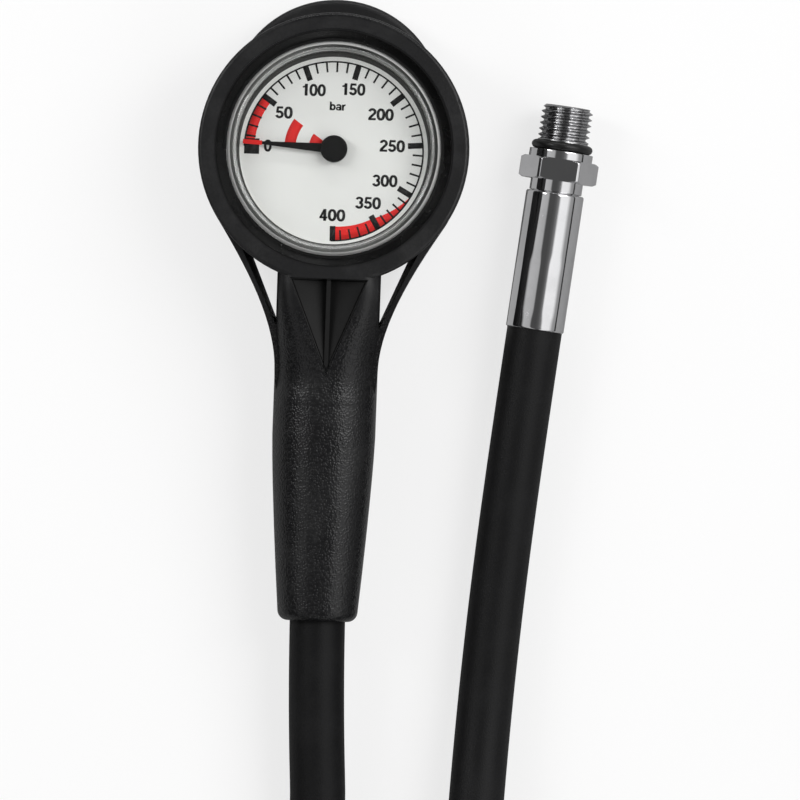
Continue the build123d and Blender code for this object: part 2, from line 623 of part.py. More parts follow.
def gauge_stem():
    """Socket block and threaded stem, milled and turned from one piece."""
    block_mid = (BLOCK_FACE + CASE_BORE_R) / 2
    block = Pos(0, -block_mid, CASE_FLOOR + BLOCK_H / 2) * Box(
        BLOCK_W, CASE_BORE_R - BLOCK_FACE, BLOCK_H
    )
    pad = Pos(0, -(BLOCK_FACE + PAD_FACE) / 2, CASE_FLOOR + PAD_H / 2) * Box(
        BLOCK_W, BLOCK_FACE - PAD_FACE, PAD_H
    )
    room = rod(CASE_BORE_R - SEAT_GAP, CASE_FLOOR, DIAL_SEAT)
    seal_root = STEM_R - 2 * STEM_SEAL_R
    seal_s = (CASE_BORE_R + CASE_R) / 2
    seal_half = STEM_SEAL_R + SEAT_GAP
    stem = lathe([
        (0, BLOCK_FACE), (STEM_R, BLOCK_FACE), (STEM_R, seal_s - seal_half),
        (seal_root, seal_s - seal_half), (seal_root, seal_s + seal_half),
        (STEM_R, seal_s + seal_half), (STEM_R, STEM_END), (SPOOL_R + PIVOT_GAP, STEM_END),
        (SPOOL_R + PIVOT_GAP, STEM_END - SPOOL_POCKET), (PRESSURE_BORE_R, STEM_END - SPOOL_POCKET),
        (PRESSURE_BORE_R, TUBE_R), (0, TUBE_R),
    ], HANDLE)
    piece = (block & room) + (pad & room) + stem
    for side in (-1, 1):
        flat = Box(STEM_R, FLATS_END - FLATS_START, 4 * STEM_R)
        flat_x = side * (FLATS + STEM_R) / 2
        piece -= Pos(flat_x, -(FLATS_START + FLATS_END) / 2, STEM_Z) * flat
        hole_x = side * SOCKET_SCREW_X
        top = BOOT_BACK + SOCKET_SCREW_L + SEAT_GAP
        piece -= rod(SOCKET_SCREW_R + SEAT_GAP, CASE_FLOOR, top, x=hole_x, y=SOCKET_SCREW_Y)
    for x, y in MOVEMENT_SCREWS:
        low = PLATE_Z + PLATE_T - SCREW_L - SEAT_GAP
        piece -= rod(SCREW_R + SEAT_GAP, low, PLATE_Z, x=x, y=y)
    piece -= round_arc(tube_section(SEAT_GAP), TUBE_ROOT_ANGLE - TUBE_GRIP, TUBE_ROOT_ANGLE)
    cross = Pos(0, -TUBE_R, STEM_Z) * Rot(0, -90, 0)
    bore = Cylinder(CROSS_BORE_R, BLOCK_W / 2, align=(Align.CENTER, Align.CENTER, Align.MIN))
    return piece - cross * bore


def stem_oring():
    seal_s = (CASE_BORE_R + CASE_R) / 2
    return ring_seal(STEM_R - STEM_SEAL_R, STEM_SEAL_R, seal_s, HANDLE)


def swivel_nut():
    """The hex nut: screwed on the stem, its inner flange running on the neck of the hose end."""
    body = hex_bar(NUT_FLATS, NUT_EDGE, NUT_START, NUT_END, HANDLE)
    return body - lathe([
        (0, NUT_START - CUT), (STEM_R + SEAT_GAP, NUT_START - CUT),
        (STEM_R + SEAT_GAP, NUT_END - NUT_FLANGE), (NECK_R + PIVOT_GAP, NUT_END - NUT_FLANGE),
        (NECK_R + PIVOT_GAP, NUT_END + CUT), (0, NUT_END + CUT),
    ], HANDLE)


def barb_outline(start):
    """The saw-tooth side of the insert, from a start towards the hose's middle."""
    step = (BARB_L - FERRULE_LIP) / BARBS
    points = []
    for n in range(BARBS):
        foot = start + FERRULE_LIP + n * step
        points += [(BARB_R, foot), (BARB_ROOT_R, foot + step * BARB_SLOPE)]
    return points


def hose_stem():
    """The hose end: collar, neck, shoulder and barbed insert, bored for the spool and the air."""
    pocket_r = SPOOL_R + PIVOT_GAP
    pocket_end = COLLAR_START + SPOOL_POCKET
    return lathe([
        (pocket_r, COLLAR_START), (COLLAR_R, COLLAR_START), (COLLAR_R, COLLAR_END),
        (NECK_R, COLLAR_END), (NECK_R, SHOULDER_START), (SHOULDER_R, SHOULDER_START),
        (SHOULDER_R, FERRULE_START), (BARB_NECK_R, FERRULE_START),
        (BARB_NECK_R, FERRULE_START + FERRULE_LIP), *barb_outline(FERRULE_START),
        (BARB_ROOT_R, FERRULE_START + BARB_L), (PRESSURE_BORE_R, FERRULE_START + BARB_L),
        (PRESSURE_BORE_R, pocket_end), (pocket_r, pocket_end),
    ], HANDLE)


def spool_middle():
    return (STEM_END + COLLAR_START) / 2


def spool_half():
    return SPOOL_POCKET + (COLLAR_START - STEM_END) / 2 - SPOOL_END_GAP


def air_spool():
    """The swivel pin: a bored pin with a seal groove near each end."""
    root = SPOOL_R - 2 * SPOOL_SEAL_R
    seal_half = SPOOL_SEAL_R + SEAT_GAP
    low, high = spool_middle() - spool_half(), spool_middle() + spool_half()
    points = [(SPOOL_BORE_R, low), (SPOOL_R, low)]
    for seal in (low + SPOOL_SEAL_INSET, high - SPOOL_SEAL_INSET):
        points += [
            (SPOOL_R, seal - seal_half), (root, seal - seal_half),
            (root, seal + seal_half), (SPOOL_R, seal + seal_half),
        ]
    return lathe(points + [(SPOOL_R, high), (SPOOL_BORE_R, high)], HANDLE)


def spool_oring(side):
    seal = spool_middle() + side * (spool_half() - SPOOL_SEAL_INSET)
    return ring_seal(SPOOL_R - SPOOL_SEAL_R, SPOOL_SEAL_R, seal, HANDLE)


def ferrule(start, end, mouth_first, place):
    """A crimped sleeve: a thin wall with one lip turned in behind the fitting's shoulder."""
    bore = HOSE_END_R + SEAT_GAP
    lip_r = BARB_NECK_R + SEAT_GAP
    length = end - start
    outline = [
        (lip_r, 0), (FERRULE_R - FERRULE_EDGE, 0), (FERRULE_R, FERRULE_EDGE),
        (FERRULE_R, length - FERRULE_EDGE), (FERRULE_R - FERRULE_EDGE, length), (bore, length),
        (bore, FERRULE_LIP), (lip_r, FERRULE_LIP),
    ]
    heights = [(r, end - h) if mouth_first else (r, start + h) for r, h in outline]
    return lathe(heights, place)


# Hose


def corner_radii(points):
    """The largest arc that each corner's two runs leave room for."""
    radii = []
    for before, corner, after in zip(points, points[1:], points[2:]):
        run_in, run_out = Vector(corner) - Vector(before), Vector(after) - Vector(corner)
        half_turn = radians(run_in.get_angle(run_out)) / 2
        radii.append(BEND_SHARE * min(run_in.length, run_out.length) / tan(half_turn))
    return radii


def hose_stretch(name, points, mouth, place, end_at, toward):
    """One free stretch of hose, with the squeezed end that sits in a ferrule."""
    radii = corner_radii(points)
    path = FilletPolyline(*points, radius=radii)
    start = Plane(origin=points[0], z_dir=Vector(points[1]) - Vector(points[0]))
    tube = sweep(start * Circle(HOSE_R), path=path)
    print(f"{name}: arcs {[round(r) for r in radii]} mm, {path.length:.1f} mm long,",
          f"volume {tube.volume:.0f} of {pi * HOSE_R ** 2 * path.length:.0f}")
    low, high = sorted((mouth, end_at))
    squeezed = rod(HOSE_END_R, low, high, place)
    insert_low, insert_high = sorted((end_at, end_at + toward * (BARB_L + SEAT_GAP)))
    squeezed -= rod(HOSE_BORE_R, insert_low, insert_high, place)
    return tube + squeezed


def hose_lead():
    start = (0.0, -FERRULE_END, STEM_Z)
    inner_end = FERRULE_START + FERRULE_LIP + SEAT_GAP
    return hose_stretch("hose_lead", [start] + LEAD_ROUTE, FERRULE_END, HANDLE, inner_end, 1)


def hose_tail():
    end = (TANK_X, TANK_Y, TANK_Z)
    inner_end = FERRULE_L - FERRULE_LIP - SEAT_GAP
    back = (TAIL_ROUTE + [end])[::-1]
    return hose_stretch("hose_tail", back, 0, TANK, inner_end, -1)


def hose_coil():
    """The outer shape of the coiled turns, which lie on each other."""
    height = COIL_LAYERS * HOSE_D
    section = Plane(origin=(COIL_R, 0, height / 2), x_dir=(1, 0, 0), z_dir=(0, -1, 0)) * SlotOverall(
        height, HOSE_D, rotation=90
    )
    return Pos(COIL_X, COIL_Y, 0) * revolve(section, Axis.Z, 360)


# Tank end


def tank_fitting():
    """Insert, collar, hexagon, seat and thread, turned from hexagon bar and bored through."""
    body = lathe([
        (PRESSURE_BORE_R, FERRULE_L - BARB_L),
        *[(r, FERRULE_L - (s - FERRULE_START)) for r, s in reversed(barb_outline(FERRULE_START))],
        (BARB_NECK_R, FERRULE_L - FERRULE_LIP), (BARB_NECK_R, FERRULE_L), (TANK_GAP_R, FERRULE_L),
        (TANK_GAP_R, TANK_COLLAR), (TANK_COLLAR_R, TANK_COLLAR), (TANK_COLLAR_R, TANK_HEX),
        (TANK_SEAT_R, TANK_HEX), (TANK_SEAT_R, TANK_NECK), (TANK_SEAL_NECK_R, TANK_NECK),
        (TANK_SEAL_NECK_R, TANK_THREAD), (TANK_THREAD_R, TANK_THREAD),
        (TANK_THREAD_R, TANK_END - TANK_THREAD_EDGE),
        (TANK_THREAD_R - TANK_THREAD_EDGE, TANK_END), (PRESSURE_BORE_R, TANK_END),
    ], TANK)
    nut = hex_bar(TANK_FLATS, TANK_HEX_EDGE, TANK_HEX, TANK_SEAT, TANK, turn=0)
    nut -= rod(PRESSURE_BORE_R, TANK_HEX, TANK_SEAT, TANK)
    return body + nut


def thread_oring():
    major = TANK_SEAL_NECK_R + TANK_SEAL_R
    return ring_seal(major, TANK_SEAL_R, TANK_NECK + TANK_SEAL_R, TANK)


# Bourdon tube and what it moves


def bourdon_tube():
    section = tube_section() - tube_section(-TUBE_WALL)
    return round_arc(section, TUBE_TIP_ANGLE, TUBE_ROOT_ANGLE)


def tube_tip():
    """The closing piece on the tube's free end, with an ear over the link."""
    body_face = Plane(origin=(TUBE_R, 0, STEM_Z), x_dir=(1, 0, 0), z_dir=(0, -1, 0)) * Rectangle(
        TUBE_W + 2 * TIP_WALL, TUBE_H + 2 * TIP_WALL
    )
    body = round_arc(body_face, TUBE_TIP_ANGLE - TIP_ANGLE, TUBE_TIP_ANGLE)
    inner_x = TUBE_R - TUBE_W / 2 - TIP_WALL + EAR_LAP
    reach = Pos((LINK_X + inner_x) / 2, 0) * Rectangle(inner_x - LINK_X, ARM_W)
    ear = slab(reach + Pos(LINK_X, 0) * Circle(ARM_W / 2), EAR_Z, EAR_Z + EAR_T)
    return body + ear - rod(SCREW_R + SEAT_GAP, EAR_Z, EAR_Z + EAR_T, x=LINK_X)


def cap_screw(x, y, seat, length):
    """A small cheese-head screw, head up, its head seated at a height."""
    return rod(SCREW_R, seat - length, seat, x=x, y=y) + rod(
        SCREW_HEAD_R, seat, seat + SCREW_HEAD_H, x=x, y=y
    )


def involute(angle):
    return tan(angle) - angle


def tooth_points(teeth, centre_angle):
    """The outline of one tooth, from root to root: involute flanks worked out from its radii."""
    pitch_r = TOOTH_MODULE * teeth / 2
    base_r = pitch_r * cos(radians(PRESSURE_ANGLE))
    root_r = pitch_r - TOOTH_ROOT * TOOTH_MODULE
    tip_r = pitch_r + TOOTH_TIP * TOOTH_MODULE
    half_pitch = pi / (2 * teeth) - BACKLASH / (2 * pitch_r)
    half_base = half_pitch + involute(radians(PRESSURE_ANGLE))
    flank = []
    foot_r = max(base_r, root_r)
    for share in FLANK_SHARES:
        r = foot_r + (tip_r - foot_r) * share
        flank.append((r, half_base - involute(acos(base_r / r))))
    if root_r < base_r:
        flank.insert(0, (root_r, flank[0][1]))
    left = [(r, centre_angle - a) for r, a in flank]
    right = [(r, centre_angle + a) for r, a in reversed(flank)]
    return [(r * cos(a), r * sin(a)) for r, a in left + right]


def pinion_arbor():
    """Pinion and pointer shaft, turned and cut from one bar."""
    toward = radians(SECTOR_ANGLE)
    points = []
    for n in range(PINION_TEETH):
        points += tooth_points(PINION_TEETH, toward + 2 * pi * n / PINION_TEETH)
    low = GEAR_Z + (SECTOR_T - PINION_T) / 2
    gear = slab(make_face(Polyline(*points, close=True)), low, low + PINION_T)
    return gear + rod(ARBOR_R, PLATE_Z, POINTER_Z - HUB_DROP + HUB_H / 2)


def sector_gear():
    """The toothed quadrant on its hub, with the tail arm that the link moves."""
    back = radians(SECTOR_ANGLE + 180)
    pitch = 2 * pi / SECTOR_TEETH
    first = back - (SECTOR_TEETH_CUT - SECTOR_LEAD) * pitch
    points = []
    for n in range(SECTOR_TEETH_CUT):
        points += tooth_points(SECTOR_TEETH, first + n * pitch)
    arms = Polyline((0, 0), *points, close=True)
    blade = make_face(arms) + Circle(SECTOR_HUB_R)
    tail = Pos(TAIL_R / 2, 0) * Rectangle(TAIL_R, ARM_W) + Pos(TAIL_R, 0) * Circle(ARM_W / 2)
    low = GEAR_Z + (SECTOR_T - SECTOR_HUB_H) / 2
    gear = slab(blade + tail, GEAR_Z, GEAR_Z + SECTOR_T) + rod(
        SECTOR_HUB_R, low, low + SECTOR_HUB_H
    )
    gear -= rod(ARBOR_R + SEAT_GAP, low, low + SECTOR_HUB_H)
    gear -= rod(SCREW_R + PIVOT_GAP, GEAR_Z, GEAR_Z + SECTOR_T, x=TAIL_R)
    return Pos(SECTOR_X, SECTOR_Y, 0) * gear


def sector_arbor():
    return rod(ARBOR_R, PLATE_Z, TOP_PLATE_Z + PLATE_T, x=SECTOR_X, y=SECTOR_Y)


def link():
    bar = Pos(LINK_X, SECTOR_Y + LINK_L / 2) * Rectangle(ARM_W, LINK_L)
    ends = [Pos(LINK_X, SECTOR_Y + end) * Circle(ARM_W / 2) for end in (0, LINK_L)]
    holes = [Pos(LINK_X, SECTOR_Y + end) * Circle(SCREW_R + SEAT_GAP) for end in (0, LINK_L)]
    return slab(bar + ends - holes, LINK_Z, LINK_Z + LINK_T)


def link_pin():
    """The rivet through tail and link, its head under the tail."""
    shank = rod(SCREW_R, GEAR_Z - RUN_GAP, LINK_Z + LINK_T, x=LINK_X, y=SECTOR_Y)
    low = GEAR_Z - RUN_GAP - SCREW_HEAD_H
    return shank + rod(SCREW_HEAD_R, low, low + SCREW_HEAD_H, x=LINK_X, y=SECTOR_Y)


def tip_screw():
    return cap_screw(LINK_X, 0, EAR_Z + EAR_T, EAR_T)


def plate_outline(places):
    """A plate with a round lobe at each place, joined to the dial axis by straight arms."""
    shape = Circle(2 * PLATE_RIM)
    for x, y in places:
        arm = Rot(0, 0, degrees(atan2(y, x))) * (
            Pos(hypot(x, y) / 2, 0) * Rectangle(hypot(x, y), 2 * PLATE_RIM)
        )
        shape = shape + arm + Pos(x, y) * Circle(PLATE_RIM)
    return shape


def bearing_plate(places, screws, low):
    """A movement plate with its two bearing holes and its screw holes."""
    plate = slab(plate_outline(places), low, low + PLATE_T)
    for x, y in ((0, 0), (SECTOR_X, SECTOR_Y)):
        plate -= rod(ARBOR_R + PIVOT_GAP, low, low + PLATE_T, x=x, y=y)
    for x, y in screws:
        plate -= rod(SCREW_R + SEAT_GAP, low, low + PLATE_T, x=x, y=y)
    return plate


def movement_base():
    return bearing_plate(
        PILLARS + [(SECTOR_X, SECTOR_Y)] + MOVEMENT_SCREWS, MOVEMENT_SCREWS, PLATE_Z
    )


def movement_top():
    plate = bearing_plate(PILLARS + [(SECTOR_X, SECTOR_Y)], PILLARS, TOP_PLATE_Z)
    return plate - rod(SCREW_R + SEAT_GAP, TOP_PLATE_Z, TOP_PLATE_Z + PLATE_T, x=stud_x())


def movement_pillars():
    low, high = PLATE_Z + PLATE_T, TOP_PLATE_Z
    hole = high - SCREW_L + PLATE_T - SEAT_GAP
    return Compound(children=[
        rod(PILLAR_R, low, high, x=x, y=y) - rod(SCREW_R + SEAT_GAP, hole, high, x=x, y=y)
        for x, y in PILLARS
    ])


def plate_screws():
    seat = TOP_PLATE_Z + PLATE_T
    return Compound(children=[cap_screw(x, y, seat, SCREW_L) for x, y in PILLARS])


def movement_screws():
    seat = PLATE_Z + PLATE_T
    return Compound(children=[cap_screw(x, y, seat, SCREW_L) for x, y in MOVEMENT_SCREWS])


def hairspring_z():
    return TOP_PLATE_Z - HAIRSPRING_H - RUN_GAP


def stud_x():
    """Where the hairspring ends, left of the dial axis."""
    return -(PINION_R + HAIRSPRING_TURNS * HAIRSPRING_PITCH + HAIRSPRING_T / 2 + SCREW_R)


def hairspring():
    """A flat spiral of half turns, each a little wider than the last."""
    step = HAIRSPRING_PITCH / 2
    spiral = []
    left, side = ARBOR_R + SEAT_GAP + HAIRSPRING_T / 2, 1
    x = left
    for n in range(2 * HAIRSPRING_TURNS):
        r = left + step * (n + 0.5)
        mid = x - side * r
        spiral.append(ThreePointArc((x, 0), (mid, side * r), (mid - side * r, 0)))
        x = mid - side * r
        side = -side
    path = Wire(spiral)
    start = Plane(origin=(left, 0, 0), x_dir=(1, 0, 0), z_dir=(0, 1, 0))
    ribbon = sweep(start * Rectangle(HAIRSPRING_T, HAIRSPRING_H), path=path)
    return Rot(0, 0, 180) * (Pos(0, 0, hairspring_z() + HAIRSPRING_H / 2) * ribbon)


def spring_stud():
    low = hairspring_z()
    return rod(SCREW_R, low, TOP_PLATE_Z + PLATE_T, x=stud_x())


# Screws and plug in the case back


def socket_screws():
    screws = []
    for x in (-SOCKET_SCREW_X, SOCKET_SCREW_X):
        head = rod(
            SOCKET_SCREW_HEAD_R, BOOT_BACK, BOOT_BACK + SOCKET_SCREW_HEAD_H, x=x, y=SOCKET_SCREW_Y
        )
        shank = rod(SOCKET_SCREW_R, BOOT_BACK, BOOT_BACK + SOCKET_SCREW_L, x=x, y=SOCKET_SCREW_Y)
        screws.append(head + shank)
    return Compound(children=screws)


def relief_plug():
    head = rod(PLUG_HEAD_R, BOOT_BACK, BOOT_BACK + PLUG_HEAD_H, y=VENT_OFFSET)
    return head + rod(PLUG_R, BOOT_BACK, CASE_FLOOR, y=VENT_OFFSET)


PIECES = {
    "boot": boot,
    "case": case_shell,
    "lens": lens,
    "lens_oring": lens_oring,
    "dial": dial,
    "dial_ring": dial_ring,
    "pointer": pointer,
    "gauge_stem": gauge_stem,
    "stem_oring": stem_oring,
    "swivel_nut": swivel_nut,
    "hose_stem": hose_stem,
    "air_spool": air_spool,
    "spool_oring_gauge": lambda: spool_oring(-1),
    "spool_oring_hose": lambda: spool_oring(1),
    "gauge_ferrule": lambda: ferrule(FERRULE_START, FERRULE_END, False, HANDLE),
    "hose_lead": hose_lead,
    "hose_coil": hose_coil,
    "hose_tail": hose_tail,
    "tank_ferrule": lambda: ferrule(0, FERRULE_L, True, TANK),
    "tank_fitting": tank_fitting,
    "thread_oring": thread_oring,
    "bourdon_tube": bourdon_tube,
    "tube_tip": tube_tip,
    "tip_screw": tip_screw,
    "link": link,
    "link_pin": link_pin,
    "sector_gear": sector_gear,
    "sector_arbor": sector_arbor,
    "pinion_arbor": pinion_arbor,
    "hairspring": hairspring,
    "spring_stud": spring_stud,
    "movement_base": movement_base,
    "movement_top": movement_top,
    "movement_pillars": movement_pillars,
    "plate_screws": plate_screws,
    "movement_screws": movement_screws,
    "socket_screws": socket_screws,
    "relief_plug": relief_plug,
}

os.makedirs("parts", exist_ok=True)
for name, make in PIECES.items():
    export_step(make(), f"parts/{name}.step")
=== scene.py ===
# %% [markdown]
# # A diver's pressure gauge, dressed for its portrait
#
# The solid parts of the gauge come in ready made, each at its real size and place. This notebook
# gives them their finish and adds what a solid model leaves out: the coiled hose, the printed dial,
# the cut thread, the crimped sleeve, the rubber's grain. New pieces are surfaces worked out with
# numpy: a shape is a formula on a grid, so it can be read, changed and measured.
#
# The gauge lies on its back, the dial faces +Z and the handle runs along -Y. Lengths are written in
# millimetres and turned into metres when a mesh is made.

from math import atan2, cos, pi, radians, sin, sqrt, tan

import bpy
import numpy as np
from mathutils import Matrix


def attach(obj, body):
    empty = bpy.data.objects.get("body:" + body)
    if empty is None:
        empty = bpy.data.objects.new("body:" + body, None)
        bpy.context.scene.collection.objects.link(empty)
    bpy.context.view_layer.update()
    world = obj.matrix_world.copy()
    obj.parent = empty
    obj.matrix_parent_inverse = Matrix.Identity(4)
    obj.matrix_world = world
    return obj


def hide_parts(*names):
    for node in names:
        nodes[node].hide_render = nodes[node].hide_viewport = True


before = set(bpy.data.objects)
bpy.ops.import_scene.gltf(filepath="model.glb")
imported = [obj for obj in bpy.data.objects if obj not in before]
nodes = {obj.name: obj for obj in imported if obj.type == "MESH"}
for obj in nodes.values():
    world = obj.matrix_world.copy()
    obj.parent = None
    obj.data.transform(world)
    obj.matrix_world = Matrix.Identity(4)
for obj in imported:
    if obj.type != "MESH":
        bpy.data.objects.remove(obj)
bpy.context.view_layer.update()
MM = 0.001


def add_object(name, data):
    """Puts a mesh, curve, light or camera into the scene."""
    made = bpy.data.objects.new(name, data)
    bpy.context.scene.collection.objects.link(made)
    return made


# %% [markdown]
# ## Camera
#
# The photograph looks straight down on the gauge, a little rolled, from far enough away that the
# tall front ring hardly hides the handle below it. A long lens far above gives that view. One
# picture width covers 173.2 mm at the height of the hose.

# %% Camera above the gauge
VIEW_WIDTH = 173.2
VIEW_CENTRE = (16.2, -53.6)
VIEW_HEIGHT = 2500.0
VIEW_ROLL = radians(2.07)
SUBJECT_Z = 10.0


def add_camera():
    """Focal length is sensor width times distance over the width that the picture covers."""
    data = bpy.data.cameras.new("camera")
    data.sensor_width = 36.0
    data.lens = data.sensor_width * (VIEW_HEIGHT - SUBJECT_Z) / VIEW_WIDTH
    data.clip_start, data.clip_end = 0.05, 20.0
    camera = add_object("camera", data)
    camera.location = (VIEW_CENTRE[0] * MM, VIEW_CENTRE[1] * MM, VIEW_HEIGHT * MM)
    camera.rotation_euler = (0, 0, VIEW_ROLL)
    bpy.context.scene.camera = camera
    return camera


camera = add_camera()
print("lens:", round(camera.data.lens), "mm")

# %% [markdown]
# ## The hose, first of all
#
# A high-pressure hose is one stiff tube 12 mm thick. It leaves the handle, bends away under the
# picture, makes nearly two turns on the table and comes back to the tank end. A NURBS curve with a
# round bevel is the natural form: its control points are the route's corners, and the curve runs
# smoothly inside them, as a stiff hose does. The turns are more points of the same curve, and they
# climb by one hose thickness in between, so the second turn lies on the first.

# %% The hose as one smooth curve
HOSE_D = 12.0
HOSE_START = (0.0, -92.5, 11.5)
LEAD_ROUTE = [(0.0, -115.0, 11.5), (2.6, -157.6, 6.6), (-10.2, -188.3, 6.0)]
TAIL_ROUTE = [
    (47.4, -188.7, 18.4), (35.0, -157.7, 11.4), (36.6, -124.0, 6.4),
    (38.8, -94.0, 6.2), (41.9, -62.85, 7.5), (44.8, -37.4, 7.5),
]
COIL_CENTRE = (18.3, -243.7)
COIL_R = 60.9
COIL_FROM, COIL_TO, COIL_POINTS = 142.7, 756.5, 32
CLIMB_FROM, CLIMB_OVER = 430.0, 40.0


def coil_points():
    """Points on a circle round the coil's centre, lifted by one hose thickness after a turn."""
    angles = np.linspace(COIL_FROM, COIL_TO, COIL_POINTS)
    lift = np.clip((angles - CLIMB_FROM) / CLIMB_OVER, 0, 1)
    turn = np.radians(angles)
    return np.column_stack([
        COIL_CENTRE[0] + COIL_R * np.cos(turn), COIL_CENTRE[1] + COIL_R * np.sin(turn),
        HOSE_D / 2 + HOSE_D * lift,
    ])


def smooth_hose(name, points, thickness):
    """A NURBS curve along control points in mm, with a round bevel."""
    data = bpy.data.curves.new(name, "CURVE")
    data.dimensions = "3D"
    spline = data.splines.new("NURBS")
    spline.points.add(len(points) - 1)
    for control, place in zip(spline.points, points):
        control.co = (*[c * MM for c in place], 1.0)
        control.radius = thickness / 2 * MM
    spline.order_u = 3
    spline.use_endpoint_u = True
    spline.resolution_u = 12
    data.bevel_depth = 1.0
    data.bevel_resolution = 10
    data.use_fill_caps = True
    return add_object(name, data)


hose = smooth_hose("hose", [HOSE_START, *LEAD_ROUTE, *coil_points(), *TAIL_ROUTE], HOSE_D)
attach(hose, "hose")
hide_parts("hose_lead", "hose_coil", "hose_tail")
print("hose control points:", len(hose.data.splines[0].points))

# %% [markdown]
# ## Surfaces from numbers
#
# Nearly every new piece here is round about some axis. Two helpers cover them. The first closes a
# grid of points into a mesh. The second carries a profile round an axis, where the radius may also
# change with the angle. That makes a hexagon, a thread or a crimp as well as a plain ring.

# %% Grid and turning helpers
CORNER_SHARE = 0.45  # the most of a side that a rounded corner takes up


def to_mesh(name, points, faces, body, sharp=35.0):
    """Puts points (millimetres) and faces into a new object at the origin and lets it ride."""
    mesh = bpy.data.meshes.new(name)
    mesh.from_pydata((points * MM).tolist(), [], faces)
    mesh.polygons.foreach_set("use_smooth", np.ones(len(mesh.polygons), dtype=bool))
    mesh.set_sharp_from_angle(angle=radians(sharp))
    mesh.update()
    piece = add_object(name, mesh)
    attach(piece, body)
    return piece


def grid_faces(rows, columns, wrap_rows=False, wrap_columns=True):
    """Four-sided faces of a grid of points. A wrapped direction joins its end to its start."""
    row = np.arange(rows if wrap_rows else rows - 1)
    column = np.arange(columns if wrap_columns else columns - 1)
    a, b = np.meshgrid(row, column, indexing="ij")
    up, on = (a + 1) % rows, (b + 1) % columns
    here, above = a * columns, up * columns
    return np.stack([here + b, here + on, above + on, above + b], -1).reshape(-1, 4).tolist()


def turned(radii, heights, angles, origin=(0, 0, 0), axis=(0, 0, 1), side=(1, 0, 0)):
    """Points at radius radii[i, j], height heights[i, j] and angle angles[j] round an axis."""
    origin, axis, side = (np.array(v, float) for v in (origin, axis, side))
    other = np.cross(axis, side)
    around = np.cos(angles)[None, :, None] * side + np.sin(angles)[None, :, None] * other
    return (origin + radii[..., None] * around + heights[..., None] * axis).reshape(-1, 3)


def swept(profile, steps):
    """A profile of (radius, height) points as two grids, with one column for each angle."""
    return np.repeat(profile[:, :1], steps, 1), np.repeat(profile[:, 1:], steps, 1)


def ring_piece(name, profile, body, slot, steps, **place):
    """A closed profile turned round its axis into a piece."""
    angles = np.linspace(0, 2 * pi, steps, endpoint=False)
    points = turned(*swept(profile, steps), angles, **place)
    faces = grid_faces(len(profile), steps, wrap_rows=True)
    return to_mesh(name, points, faces, body)


def bowed(start, corner, end, t):
    """A quadratic Bezier curve: it leaves start towards the corner and arrives at end from it."""
    return (1 - t) ** 2 * start + 2 * t * (1 - t) * corner + t ** 2 * end


def rounded(profile, radius, steps=6):
    """Rounds the inner corners of a line of points, each by its own radius, with a smooth bow."""
    profile = np.array(profile, float)
    before, corner, after = profile[:-2], profile[1:-1], profile[2:]
    back, on = before - corner, after - corner
    reach_back = np.linalg.norm(back, axis=1, keepdims=True)
    reach_on = np.linalg.norm(on, axis=1, keepdims=True)
    most = CORNER_SHARE * np.minimum(reach_back, reach_on)
    cut = np.minimum(np.reshape(radius, (-1, 1)), most)
    start, end = corner + back / reach_back * cut, corner + on / reach_on * cut
    t = np.linspace(0, 1, steps)[None, :, None]
    return bowed(start[:, None], corner[:, None], end[:, None], t).reshape(-1, 2)


# %% [markdown]
# ## Shader helpers
#
# Materials are built from nodes. One helper adds a node and fills its inputs, each with a number or
# with another node's output, so that a material reads from top to bottom like a recipe. Another
# starts a node group, which is how one effect serves many finishes.

# %% Node helpers
COLOUR_A, COLOUR_B, COLOUR_OUT = 6, 7, 2  # the colour sockets of a mix node


def add_node(tree, kind, inputs=None, **settings):
    """Adds a node, sets its options, and feeds each named input with a value or a socket."""
    made = tree.nodes.new("ShaderNode" + kind)
    for option, value in settings.items():
        setattr(made, option, value)
    for key, value in (inputs or {}).items():
        if isinstance(value, bpy.types.NodeSocket):
            tree.links.new(value, made.inputs[key])
        else:
            made.inputs[key].default_value = value
    return made


def calc(tree, operation, *values):
    """The output of a math node."""
    made = add_node(tree, "Math", dict(enumerate(values)), operation=operation)
    return made.outputs[0]


def ramp(tree, value, low, high, to_low=0.0, to_high=1.0):
    """Maps a value from one range onto another, softly and without running past it."""
    made = add_node(
        tree, "MapRange",
        {"Value": value, "From Min": low, "From Max": high, "To Min": to_low, "To Max": to_high},
        interpolation_type="SMOOTHSTEP",
    )
    return made.outputs["Result"]


def blend_colours(tree, mask, first, second):
    """The first colour where the mask is zero, the second where it is one."""
    first, second = ((*c, 1.0) if isinstance(c, tuple) else c for c in (first, second))
    inputs = {"Factor": mask, COLOUR_A: first, COLOUR_B: second}
    return add_node(tree, "Mix", inputs, data_type="RGBA").outputs[COLOUR_OUT]


# %% Group and material helpers
def start_group(name, inputs, outputs):
    """A new node group. Returns its tree, what it is given and what it has to fill in."""
    tree = bpy.data.node_groups.new(name, "ShaderNodeTree")
    for title, kind, default in inputs:
        socket = tree.interface.new_socket(title, in_out="INPUT", socket_type=f"NodeSocket{kind}")
        if default is not None:
            socket.default_value = default
    for title, kind in outputs:
        tree.interface.new_socket(title, in_out="OUTPUT", socket_type=f"NodeSocket{kind}")
    ends = tree.nodes.new("NodeGroupInput"), tree.nodes.new("NodeGroupOutput")
    return tree, ends[0].outputs, ends[1].inputs


def place_group(tree, group, inputs):
    """Puts a node group into a material with its own values. Returns its outputs by name."""
    return add_node(tree, "Group", inputs, node_tree=group).outputs


finishes = {}


